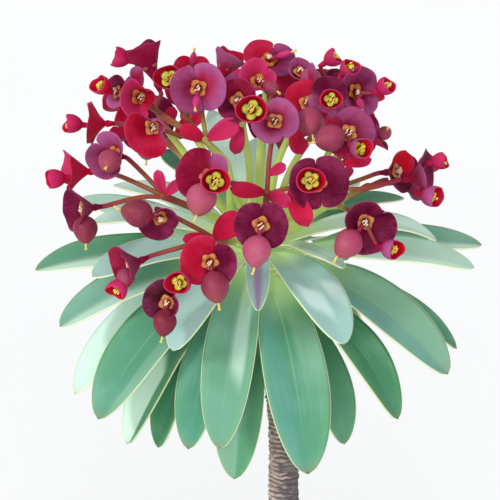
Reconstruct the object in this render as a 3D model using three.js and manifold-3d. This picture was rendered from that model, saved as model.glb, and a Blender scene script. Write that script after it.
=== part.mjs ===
// A potted tree spurge: a plain pot, its soil, one scarred trunk, a rosette of blue-green leaves and
// an umbel of dark red blooms on branching rays. Millimetres, +Z up, with the origin at the middle of
// the pot's flat underside and -Y towards the viewer.
import * as THREE from "three";
import { mergeVertices } from "three/addons/utils/BufferGeometryUtils.js";
import Module from "manifold-3d";

const wasm = await Module();
wasm.setup();

// Pot and soil
const potHeight = 104;
const potRimRadius = 60;
const potBandHeight = 20;
const potBandStep = 3;
const potBaseRadius = 42;
const potWall = 4.5;
const potFloor = 6;
const drainRadius = 4;
const drainRing = 22;
const drainCount = 3;
const soilLevel = 92;
const soilGap = 0.3;
const potSides = 24;

// Trunk
const trunkRadius = 6.4; // at the soil
const trunkTopRadius = 5.2; // below the leaves
const trunkDepth = 46; // how far it stands in the soil
const trunkLean = -10.8; // where the umbel's foot is, to the left of the pot's middle
const scarPitch = 6.2; // from one leaf scar to the next
const scarHeight = 0.6;
const trunkSides = 8;

// Umbel
const footHeight = soilLevel + 165; // the rays' common foot
const headRadius = 8.2; // the growing end that carries the rays
const gap = 0.35; // between pieces that only touch

// Leaves
const leafThickness = 1.1; // at the midrib
const leafEdge = 0.7;
const leafRings = 6;
const firstRing = 0.03; // where a blade's first and last rings lie, as shares of its length
const lastRing = 0.97;
const widestShare = 0.62; // where a blade is widest, as a share of its length
const tipTaper = 0.613; // how fast it narrows beyond that
const leafFootHalf = 2.3; // half the width of its foot, in millimetres
const rootFold = 0.3; // how far its edges stand above its midrib, per half width
const tipFold = 0.14;
const firstReach = 0.36; // how long a leaf keeps its first direction, as a share of its length
const archShare = 0.68; // where it arches most over the straight line
const rolledShare = 0.4; // by where a rolled blade has its whole turn

// Rays and stalks
const rayRadius = 1.6;
const rayTaper = 0.2;
const rayRingSpacing = 12;
const stalkRadius = 1.05;
const stalkRingSpacing = 14;
const stalkSink = 1.4; // how deep a stalk is rooted in the end of its ray

// Blooms
const shellThickness = 0.75;
const glandRadius = 3.3;
const youngGland = 0.29; // the same in a young cup, as a share of its size
const youngDepth = 0.42; // how deep a cup's gland plate lies, as a share of its size
const glandCrown = 0.4; // how far the gland's middle stands out
const bloomSize = 14; // how far a lobe reaches along its wall, if the bloom gives no size
const midRingShare = 0.62; // where an open pair's wall bends, as a share of its length
const straightStalk = 4.5; // how far the stalk runs straight behind a bloom
const youngStraightStalk = 2.6;
const stalkEnd = 1.2; // how far below the bloom's base its stalk's last ring is
const bractThickness = 1;
const bractEdge = 0.8;

// Seed capsules: their size, and their outline as shares of the length and of the width
const capsuleLength = 12.6;
const capsuleWidth = 10.8;
const capsuleSides = 6;
const capsuleNeck = 1.1;
const capsuleOutline = [
  [0.16, 0.62],
  [0.46, 1.02],
  [0.82, 0.7],
];

// The view that places are read in: so many millimetres to the right of the umbel's foot, above it
// and nearer than it, from viewDistance away and viewRise degrees above level.
const viewRise = THREE.MathUtils.degToRad(20);
const viewDistance = 1200;
const viewMiddle = { right: -2.8, up: -7.2 }; // where the view is aimed, from the umbel's foot

const foot = new THREE.Vector3(trunkLean, 0, footHeight);
const viewRight = new THREE.Vector3(1, 0, 0);
const viewUp = new THREE.Vector3(0, Math.sin(viewRise), Math.cos(viewRise));
const viewNear = new THREE.Vector3(0, -Math.cos(viewRise), Math.sin(viewRise));
const upright = new THREE.Vector3(0, 0, 1);

function towards([right, up, near]) {
  return new THREE.Vector3()
    .addScaledVector(viewRight, right)
    .addScaledVector(viewUp, up)
    .addScaledVector(viewNear, near);
}

function facing(direction) {
  return towards(direction).normalize();
}

// A place in the part's own frame; what is nearer looks larger, so it lies closer to the middle.
function seen([right, up, near]) {
  const shrink = 1 - near / viewDistance;
  const place = towards([
    viewMiddle.right + (right - viewMiddle.right) * shrink,
    viewMiddle.up + (up - viewMiddle.up) * shrink,
    near,
  ]);
  return place.add(foot);
}

// Solids

function solidOf(geometry) {
  const bare = geometry.index ? geometry.toNonIndexed() : geometry.clone();
  for (const name of Object.keys(bare.attributes))
    if (name !== "position") bare.deleteAttribute(name);
  const merged = mergeVertices(bare, 1e-4);
  const corners = merged.index.array;
  const kept = [];
  for (let i = 0; i < corners.length; i += 3) {
    const [a, b, c] = [corners[i], corners[i + 1], corners[i + 2]];
    if (a !== b && b !== c && c !== a) kept.push(a, b, c);
  }
  const points = merged.attributes.position.array;
  const solid = () =>
    new wasm.Manifold(
      new wasm.Mesh({
        numProp: 3,
        vertProperties: points,
        triVerts: new Uint32Array(kept),
      }),
    );
  const made = solid();
  if (made.volume() > 0) return made;
  for (let i = 0; i < kept.length; i += 3)
    [kept[i + 1], kept[i + 2]] = [kept[i + 2], kept[i + 1]];
  return solid();
}

function joined(solids) {
  return solids.reduce((all, one) => all.add(one));
}

function geometryOf(solid) {
  const mesh = solid.getMesh();
  const positions = new Float32Array(mesh.numVert * 3);
  for (let i = 0; i < mesh.numVert; i++)
    for (let k = 0; k < 3; k++)
      positions[i * 3 + k] = mesh.vertProperties[i * mesh.numProp + k];
  const geometry = new THREE.BufferGeometry();
  geometry.setAttribute("position", new THREE.BufferAttribute(positions, 3));
  geometry.setIndex(new THREE.BufferAttribute(mesh.triVerts, 1));
  geometry.computeVertexNormals();
  return geometry;
}

function geometryFrom(triangles) {
  const positions = new Float32Array(triangles.flat().flatMap((p) => [p.x, p.y, p.z]));
  return new THREE.BufferGeometry().setAttribute(
    "position",
    new THREE.BufferAttribute(positions, 3),
  );
}

// The closed skin of a body given ring by ring. A ring is a list of points, and a single point
// closes an end; a ring may also have twice or half as many points as its neighbour. The second
// half of each ring is split the other way, so that both faces of a thin blade are split alike.
function loft(rings) {
  const triangles = [];
  for (let i = 0; i < rings.length - 1; i++) {
    const [a, b] = [rings[i], rings[i + 1]];
    const most = Math.max(a.length, b.length);
    for (let j = 0; j < most; j++) {
      const k = (j + 1) % most;
      if (a.length === 1) triangles.push([a[0], b[k], b[j]]);
      else if (b.length === 1) triangles.push([a[j], a[k], b[0]]);
      else if (a.length === b.length && j < most / 2)
        triangles.push([a[j], a[k], b[k]], [a[j], b[k], b[j]]);
      else if (a.length === b.length) triangles.push([a[j], a[k], b[j]], [a[k], b[k], b[j]]);
      else if (a.length > b.length) {
        const [here, there] = [b[j >> 1], b[((j + 1) >> 1) % b.length]];
        triangles.push([a[j], a[k], here]);
        if (here !== there) triangles.push([a[k], there, here]);
      } else {
        const [here, there] = [a[j >> 1], a[((j + 1) >> 1) % a.length]];
        triangles.push([here, b[k], b[j]]);
        if (here !== there) triangles.push([here, there, b[k]]);
      }
    }
  }
  return geometryFrom(triangles);
}

// Rings of `sides` points round a smooth path at shares of its length, carried along it untwisted
// from the direction `first`.
function ringsAlong(places, shares, sides, radiusAt, first) {
  const curve = new THREE.CatmullRomCurve3(places, false, "centripetal");
  const normal = first.clone();
  return shares.map((share) => {
    const centre = curve.getPointAt(share);
    const along = curve.getTangentAt(share);
    normal.addScaledVector(along, -normal.dot(along)).normalize();
    const across = new THREE.Vector3().crossVectors(along, normal);
    const radius = radiusAt(share, centre);
    return Array.from({ length: sides }, (_, j) => {
      const angle = (2 * Math.PI * j) / sides;
      return centre
        .clone()
        .addScaledVector(normal, radius * Math.cos(angle))
        .addScaledVector(across, radius * Math.sin(angle));
    });
  });
}

function evenShares(places, spacing) {
  const curve = new THREE.CatmullRomCurve3(places, false, "centripetal");
  const steps = Math.max(2, Math.round(curve.getLength() / spacing));
  return Array.from({ length: steps + 1 }, (_, i) => i / steps);
}

// Pot

const bandFoot = potHeight - potBandHeight; // where the wall meets the band round the rim
const wallRadius = THREE.MathUtils.lerp(
  potBaseRadius,
  potRimRadius - potBandStep,
  bandFoot / potHeight,
);
const inner = (radius) => radius - potWall;

function makePot() {
  const profile = [
    [0, 0],
    [potBaseRadius - 1, 0],
    [potBaseRadius, 1],
    [wallRadius, bandFoot],
    [wallRadius + potBandStep, bandFoot + 1],
    [potRimRadius, potHeight - 1.5],
    [potRimRadius - 1.5, potHeight],
    [inner(potRimRadius) + 0.5, potHeight],
    [inner(potRimRadius) - 0.5, potHeight - 2],
    [inner(wallRadius), bandFoot],
    [inner(potBaseRadius) + 1, potFloor],
    [0, potFloor],
  ].map(([radius, height]) => new THREE.Vector2(radius, height));
  const body = new THREE.LatheGeometry(profile, potSides).rotateX(Math.PI / 2);
  let solid = solidOf(body);
  for (let i = 0; i < drainCount; i++) {
    const angle = (2 * Math.PI * i) / drainCount + Math.PI / 6;
    const drill = new THREE.CylinderGeometry(drainRadius, drainRadius, 3 * potFloor, 12)
      .rotateX(Math.PI / 2)
      .translate(drainRing * Math.cos(angle), drainRing * Math.sin(angle), 0);
    solid = solid.subtract(solidOf(drill));
  }
  return solid;
}

function potInnerRadius(height) {
  const between = THREE.MathUtils.mapLinear;
  const wall = inner(wallRadius);
  if (height <= bandFoot)
    return between(height, potFloor, bandFoot, inner(potBaseRadius) + 1, wall);
  return between(height, bandFoot, potHeight - 2, wall, inner(potRimRadius) - 0.5);
}

// Soil, a little higher in the middle, with a plain hole for the trunk
function makeSoil() {
  const fit = (height) => potInnerRadius(height) - 2 * soilGap;
  const hole = trunkRadius + 2 * scarHeight + soilGap;
  const profile = [
    [0, potFloor + soilGap],
    [fit(potFloor), potFloor + soilGap],
    [fit(bandFoot), bandFoot],
    [fit(soilLevel - 2), soilLevel - 2],
    [fit(soilLevel) * 0.7, soilLevel - 0.6],
    [hole + 5, soilLevel],
    [hole, soilLevel - 0.5],
    [hole, soilLevel - trunkDepth - soilGap],
    [0, soilLevel - trunkDepth - soilGap],
  ].map(([radius, height]) => new THREE.Vector2(radius, height));
  return solidOf(new THREE.LatheGeometry(profile, potSides).rotateX(Math.PI / 2));
}

// Trunk: leaf scars stand out as rings, uneven from one to the next; the growing end swells into
// the head that the rays leave.
const trunkPath = [
  new THREE.Vector3(0, 0, soilLevel - trunkDepth),
  new THREE.Vector3(0, 0, soilLevel),
  new THREE.Vector3(0.3, 0.5, soilLevel + 50),
  new THREE.Vector3(-0.5, 0, soilLevel + 85),
  new THREE.Vector3(-6, 0, footHeight - 42),
  new THREE.Vector3(trunkLean, 0, footHeight - 18),
  new THREE.Vector3(trunkLean, 0, footHeight + 4.5),
];

function stemRadius(height) {
  const smooth = THREE.MathUtils.smoothstep;
  const taper = THREE.MathUtils.mapLinear(
    height,
    soilLevel,
    footHeight - 20,
    trunkRadius,
    trunkTopRadius,
  );
  const belowFoot = footHeight - height;
  const swell = (headRadius - trunkTopRadius) * (1 - smooth(belowFoot, 1, 12));
  const crown = smooth(-belowFoot, 1, 5) * 3.4;
  return Math.max(trunkTopRadius, Math.min(taper, trunkRadius)) + swell - crown;
}

function makeTrunk() {
  const curve = new THREE.CatmullRomCurve3(trunkPath, false, "centripetal");
  const buried = (trunkDepth - 4) / curve.getLength();
  const steps = 2 * Math.round(((1 - buried) * curve.getLength()) / scarPitch);
  const shares = [0];
  for (let i = 0; i <= steps; i++) shares.push(buried + ((1 - buried) * i) / steps);
  const radiusAt = (share, centre) => {
    const step = shares.indexOf(share);
    const woody = step && centre.z < footHeight - 30;
    const uneven = 0.8 + 0.3 * Math.sin(step * 2.7);
    return stemRadius(centre.z) + (woody && step % 2 ? scarHeight * uneven : 0);
  };
  const rings = ringsAlong(trunkPath, shares, trunkSides, radiusAt, viewRight);
  return solidOf(loft([[trunkPath[0]], ...rings, [trunkPath.at(-1)]]));
}

// Leaves. Each is given by its tip, how far below the umbel's foot it grows, the rise of its first
// stretch in degrees, how far its outer half arches over the straight line, and its width. Those
// that the view hides are given by their direction round the stem (0 to the right, 90 away from the
// viewer), their reach and how far their tip hangs below the umbel's foot. `roll` is how far a
// blade turns about its length beyond its root, in degrees, its left edge up as seen from the stem.
const leaves = {
  leaf_front_long: { tip: [20.4, -97, 44], drop: 16, rise: 8, arch: 15, width: 25.5 },
  leaf_front_young: { tip: [0.4, -31.6, 62], drop: 3, rise: 20, arch: 9, width: 9.5 },
  leaf_front_left: { tip: [-15, -87, 46], drop: 12, rise: 10, arch: 14, width: 20.5 },
  leaf_front_low: { tip: [-9, -99, 22], drop: 29, rise: 0, arch: 12, width: 20 },
  leaf_front_teal: { tip: [-27.6, -87, 26], drop: 21, rise: 4, arch: 13, width: 19 },
  leaf_front_olive: { tip: [-39.6, -86.4, 4], drop: 31, rise: 0, arch: 13, width: 18 },
  leaf_left_young: { tip: [-33.6, -47.6, 54], drop: 8, rise: 14, arch: 12, width: 18 },
  leaf_left_hanging: { tip: [-52, -85, 10], drop: 27, rise: 2, arch: 14, width: 20 },
  leaf_left_broad: { tip: [-63.6, -75, 30], drop: 18, rise: 8, arch: 15, width: 26, roll: -12 },
  leaf_left_pale: { tip: [-73, -65, 0], drop: 22.5, rise: 8, arch: 16.5, width: 24.5, roll: -13 },
  leaf_left_long: { tip: [-79, -38, 22], drop: 13.5, rise: 10, arch: 11, width: 23, roll: -9 },
  leaf_left_short: { tip: [-66, -18, 34], drop: 7, rise: 16, arch: 9, width: 19, roll: -10 },
  leaf_left_level: { tip: [-88.8, -15.2, 2], drop: 10, rise: 10, arch: 8, width: 22, roll: -12 },
  leaf_right_glossy: { tip: [34.8, -45, 60], drop: 7, rise: 16, arch: 12, width: 21 },
  leaf_right_small: { tip: [35, -14.4, 40], drop: 3, rise: 18, arch: 5, width: 9 },
  leaf_right_broad: { tip: [76.4, -57, 28], drop: 14, rise: 12, arch: 13.5, width: 27, roll: 8 },
  leaf_right_behind: { tip: [80, -46.8, 2], drop: 19, rise: 10, arch: 14, width: 21 },
  leaf_right_hanging: { tip: [56.4, -75, 20], drop: 22, rise: 6, arch: 15, width: 21 },
  leaf_right_low: { tip: [35, -85, 12], drop: 28, rise: 2, arch: 13, width: 20 },
  leaf_right_level: { tip: [87, -14.4, 10], drop: 10, rise: 11, arch: 8, width: 21, roll: 8 },
  leaf_right_far: { tip: [90, -5, -24], drop: 14, rise: 13, arch: 7, width: 21, roll: 12 },
  leaf_right_pale: { tip: [72, -3.4, -4], drop: 5, rise: 20, arch: 14.5, width: 17.5, roll: 3 },
  leaf_back_left_green: { tip: [-72, 13, -38], drop: 11, rise: 12, arch: 5, width: 19, roll: -8 },
  leaf_back_left_blue: { tip: [-57, 19, -50], drop: 7.5, rise: 23, arch: 8, width: 18 },
  leaf_back_left_pale: { tip: [-66, 4, -12], drop: 4, rise: 20, arch: 8, width: 18, roll: -6 },
  leaf_back_left_high: { tip: [-37.6, 33, -52], drop: 3, rise: 34, arch: 5, width: 17 },
  leaf_back_high: { tip: [-18.4, 49, -58], drop: 1.5, rise: 44, arch: 3, width: 12 },
  leaf_back_upright: { tip: [2, 38, -64], drop: 4, rise: 30, arch: 5, width: 16 },
  leaf_back_right_green: { tip: [58.4, 14, -42], drop: 6, rise: 20, arch: 6, width: 19 },
  leaf_back_right_pale: { tip: [40, 20, -56], drop: 4, rise: 26, arch: 5, width: 17 },
  leaf_back_far_left: { round: 118, reach: 84, tipDrop: 42, drop: 14, rise: 10, arch: 14, width: 22 },
  leaf_back_far: { round: 92, reach: 80, tipDrop: 38, drop: 12, rise: 8, arch: 14, width: 22 },
  leaf_back_far_right: { round: 64, reach: 84, tipDrop: 40, drop: 15, rise: 10, arch: 14, width: 22 },
  leaf_back_low_left: { round: 138, reach: 70, tipDrop: 74, drop: 25, rise: 2, arch: 14, width: 21 },
  leaf_back_low: { round: 106, reach: 48, tipDrop: 88, drop: 30, rise: 0, arch: 14, width: 21 },
  leaf_back_low_right: { round: 51, reach: 66, tipDrop: 72, drop: 26, rise: 2, arch: 14, width: 21 },
  leaf_back_side_left: { round: 160, reach: 70, tipDrop: 44, drop: 17, rise: 8, arch: 11, width: 19 },
  leaf_back_side_right: { round: 27, reach: 80, tipDrop: 54, drop: 18.5, rise: 12, arch: 10, width: 17 },
};

function leafTip(leaf) {
  if (leaf.tip) return seen(leaf.tip);
  const angle = THREE.MathUtils.degToRad(leaf.round);
  return new THREE.Vector3(
    foot.x + leaf.reach * Math.cos(angle),
    leaf.reach * Math.sin(angle),
    footHeight - leaf.tipDrop,
  );
}

// Half the width of a blade at a share of its length: narrow at the root, widest past the middle.
function bladeHalf(width, share) {
  const body = (share / widestShare) * Math.pow((1 - share) / (1 - widestShare), tipTaper);
  return (width / 2) * body + leafFootHalf * Math.pow(1 - share, 5);
}

function makeLeaf(leaf) {
  const tip = leafTip(leaf);
  const height = footHeight - leaf.drop;
  const out = new THREE.Vector3(tip.x - foot.x, tip.y, 0).normalize();
  const rise = THREE.MathUtils.degToRad(leaf.rise);
  const root = new THREE.Vector3(foot.x, 0, height).addScaledVector(
    out,
    stemRadius(height) + gap + leafThickness,
  );
  const length = root.distanceTo(tip);
  const first = root
    .clone()
    .addScaledVector(out, firstReach * length * Math.cos(rise))
    .addScaledVector(upright, firstReach * length * Math.sin(rise));
  const chord = tip.clone().sub(root);
  const side = new THREE.Vector3().crossVectors(upright, out).normalize();
  const over = new THREE.Vector3().crossVectors(chord, side).normalize();
  const second = root
    .clone()
    .addScaledVector(chord, archShare)
    .addScaledVector(over, leaf.arch);
  const curve = new THREE.CubicBezierCurve3(root, first, second, tip);
  const roll = THREE.MathUtils.degToRad(leaf.roll || 0);
  const rings = [[root]];
  for (let i = 0; i < leafRings; i++) {
    const share = THREE.MathUtils.lerp(firstRing, lastRing, i / (leafRings - 1));
    const along = curve.getTangent(share);
    const turned = roll * THREE.MathUtils.smoothstep(share, 0, rolledShare);
    const level = side.clone().applyAxisAngle(out, turned);
    const across = level.addScaledVector(along, -level.dot(along)).normalize();
    const half = bladeHalf(leaf.width, share);
    const fold = half * THREE.MathUtils.lerp(rootFold, tipFold, share);
    const thick = THREE.MathUtils.lerp(leafThickness, leafEdge, share);
    rings.push(bladeRing(curve.getPoint(share), along, across, half, fold, thick, leafEdge));
  }
  return solidOf(loft([...rings, [tip]]));
}

// The section of a blade: its upper face from edge to edge, then its lower face back. `fold` is
// how far its edges stand above its midrib.
function bladeRing(centre, along, across, half, fold, middle, edge) {
  const face = new THREE.Vector3().crossVectors(along, across).normalize();
  const at = (sideways, lift) =>
    centre.clone().addScaledVector(across, sideways).addScaledVector(face, lift);
  return [
    at(-half, fold),
    at(0, 0),
    at(half, fold),
    at(half, fold - edge),
    at(0, -middle),
    at(-half, fold - edge),
  ];
}

// Blooms

// The frame of a bloom: the way it faces, the line through its two lobes and the one across it.
// The line is given as a direction, or by its turn in degrees from the right.
function bloomFrame(place, bloom) {
  const out = facing(bloom.faces);
  const angle = THREE.MathUtils.degToRad(bloom.turn || 0);
  const line = towards(bloom.line || [Math.cos(angle), Math.sin(angle), 0]);
  line.addScaledVector(out, -line.dot(out)).normalize();
  const across = new THREE.Vector3().crossVectors(out, line);
  return (x, y, z) =>
    place
      .clone()
      .addScaledVector(line, x)
      .addScaledVector(across, y)
      .addScaledVector(out, z);
}

// The rim of a pair of bracts: two broad lobes with a small point each, parted by two notches
const wideAngles = [0, 36, 68, 90, 112, 144, 180, 216, 248, 270, 292, 324];
const closeAngles = [0, 50, 90, 130, 180, 230, 270, 310];
const lobeBluntness = 0.24; // the smaller, the wider a lobe stays towards its notches
const shoulderReach = 0.06; // how far its shoulders and its point stand out, as shares of its size
const pointReach = 0.04;
const pointSharpness = 40;
function pairReach(size, notch) {
  return (around) => {
    const level = Math.abs(Math.cos(around));
    const lobe = Math.pow(level, lobeBluntness);
    const shoulder = shoulderReach * Math.pow(Math.sin(2 * around), 2);
    const point = pointReach * Math.pow(level, pointSharpness);
    return size * (notch + (1 - notch) * lobe + shoulder + point);
  };
}

const cupAngles = [0, 45, 90, 135, 180, 225, 270, 315];
const lipReach = 0.08; // how far a cup's two lips stand out, as a share of its size
function cupReach(size) {
  return (around) => size * (1 - lipReach + lipReach * Math.cos(2 * around));
}

// How each form of bloom opens: the angles from its axis at which its wall starts and ends, the
// depth of its gland plate and how far its notches stay from the middle.
const forms = {
  open: { first: 40, last: 92, depth: 3.4, notch: 0.62, angles: wideAngles },
  bowl: { first: 34, last: 66, depth: 4.6, notch: 0.6, angles: closeAngles },
  funnel: { first: 12, last: 44, depth: 7.5, notch: 0.6, angles: closeAngles },
  cup: { first: 66, last: -8, angles: cupAngles },
};

// How much further than its form a bloom opens on one side, in degrees: one lobe of a pair may stand
// up closer than the other.
const lobeBlend = 0.3; // how near the notches one lobe's opening passes into the other's
function opening([one, other], around) {
  const share = THREE.MathUtils.smoothstep(Math.cos(around), -lobeBlend, lobeBlend);
  return THREE.MathUtils.lerp(other, one, share);
}

// A place on a bloom's wall, as its distance from the axis and its height: the wall leaves the axis
// at one angle and bends evenly to another over its length.
const straightWall = 0.001; // stands for no bend at all, which would divide by nothing
function wallPlace(form, length, share, further) {
  const first = THREE.MathUtils.degToRad(form.first);
  const last = THREE.MathUtils.degToRad(form.last + further);
  const angle = first + (last - first) * share;
  const bend = length / (last - first || straightWall);
  return {
    radius: bend * (Math.cos(first) - Math.cos(angle)),
    height: bend * (Math.sin(angle) - Math.sin(first)),
    angle,
  };
}

// One bloom with its stalk, which starts in the fork: gland plate, inner wall, rim, underside and
// stalk in one skin.
function bloomSkin(bloom, form, fork) {
  const cup = bloom.form === "cup";
  const size = bloom.size || bloomSize;
  const depth = cup ? youngDepth * size : form.depth;
  const place = seen(bloom.at);
  const out = facing(bloom.faces);
  const base = place.clone().addScaledVector(out, -depth);
  const frame = bloomFrame(base, bloom);
  const reach = cup ? cupReach(size) : pairReach(size, form.notch);
  const gland = cup ? youngGland * size : glandRadius;
  const ring = (pointAt) =>
    form.angles.map((degrees) => {
      const around = THREE.MathUtils.degToRad(degrees);
      const [radius, height] = pointAt(around);
      return frame(radius * Math.cos(around), radius * Math.sin(around), height);
    });
  const opens = bloom.opens || [0, 0];
  const inside = (share) => (around) => {
    const wall = wallPlace(form, reach(around), share, opening(opens, around));
    return [wall.radius, wall.height];
  };
  const outside = (share) => (around) => {
    const wall = wallPlace(form, reach(around), share, opening(opens, around));
    return [
      wall.radius + shellThickness * Math.cos(wall.angle),
      wall.height - shellThickness * Math.sin(wall.angle),
    ];
  };
  const line = frame(1, 0, 0).sub(base);
  const route = [
    base.clone().addScaledVector(out, -stalkEnd),
    base.clone().addScaledVector(out, cup ? -youngStraightStalk : -straightStalk),
    ...(bloom.via || []).map(seen).reverse(),
    fork,
  ];
  const rings = ringsAlong(
    route,
    evenShares(route, stalkRingSpacing),
    form.angles.length / 2,
    () => stalkRadius,
    line,
  );
  // The route runs back from the bloom, so its rings go round the other way: turn them over.
  for (const one of rings) one.push(...one.splice(1).reverse());
  return loft([
    [frame(0, 0, depth + glandCrown)],
    ring(() => [gland, depth]),
    ...(bloom.form ? [] : [ring(inside(midRingShare))]),
    ring(inside(1)),
    ring(outside(1)),
    ...(cup ? [ring(outside(0.5))] : []),
    ...rings,
    [fork],
  ]);
}

// A seed capsule on its short neck, from the gland plate to its style
function capsule(from, offset, scale, girth) {
  const along = offset.clone().normalize();
  const style = offset.clone().setLength(offset.length() + (capsuleLength * scale) / 2);
  const neck = offset.length() - (capsuleLength * scale) / 2;
  const across = new THREE.Vector3().crossVectors(along, viewRight).normalize();
  const third = new THREE.Vector3().crossVectors(along, across);
  const ring = (distance, radius) =>
    Array.from({ length: capsuleSides }, (_, j) => {
      const angle = (2 * Math.PI * j) / capsuleSides;
      return from
        .clone()
        .addScaledVector(along, distance)
        .addScaledVector(across, radius * Math.cos(angle))
        .addScaledVector(third, radius * Math.sin(angle));
    });
  return loft([
    [from.clone().addScaledVector(along, -0.5)],
    ring(Math.max(0.6, neck + 0.2), capsuleNeck),
    ...capsuleOutline.map(([share, width]) =>
      ring(neck + share * capsuleLength * scale, (width * capsuleWidth * scale * girth) / 2),
    ),
    [from.clone().add(style)],
  ]);
}

function makeBloom(bloom, fork) {
  const form = forms[bloom.form || "open"];
  const solids = [solidOf(bloomSkin(bloom, form, fork))];
  const place = seen(bloom.at);
  if (bloom.capsule) {
    const offset = towards(bloom.capsule);
    solids.push(solidOf(capsule(place, offset, bloom.capsuleScale || 1, bloom.girth || 1)));
  }
  const throat = place.clone().addScaledVector(facing(bloom.faces), -0.5);
  for (const young of bloom.young || [])
    solids.push(...makeBloom({ form: "cup", ...young }, throat));
  return solids;
}

// A leafy bract at a fork: a small folded blade, broadest in its outer half
function forkBract([from, to, width]) {
  const start = seen(from);
  const end = seen(to);
  const along = end.clone().sub(start);
  const length = along.length();
  along.normalize();
  const across = new THREE.Vector3().crossVectors(viewNear, along);
  if (across.length() < 0.3) across.crossVectors(viewUp, along);
  across.normalize();
  const face = new THREE.Vector3().crossVectors(along, across);
  const rings = [0.2, 0.66].map((share) => {
    const half = (width / 2) * Math.sin(Math.PI * (0.12 + 0.7 * share));
    const centre = start
      .clone()
      .addScaledVector(along, length * share)
      .addScaledVector(face, 0.1 * length * Math.sin(Math.PI * share));
    return bladeRing(centre, along, across, half, rootFold * half, bractThickness, bractEdge);
  });
  return solidOf(loft([[start], ...rings, [end]]));
}

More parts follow.
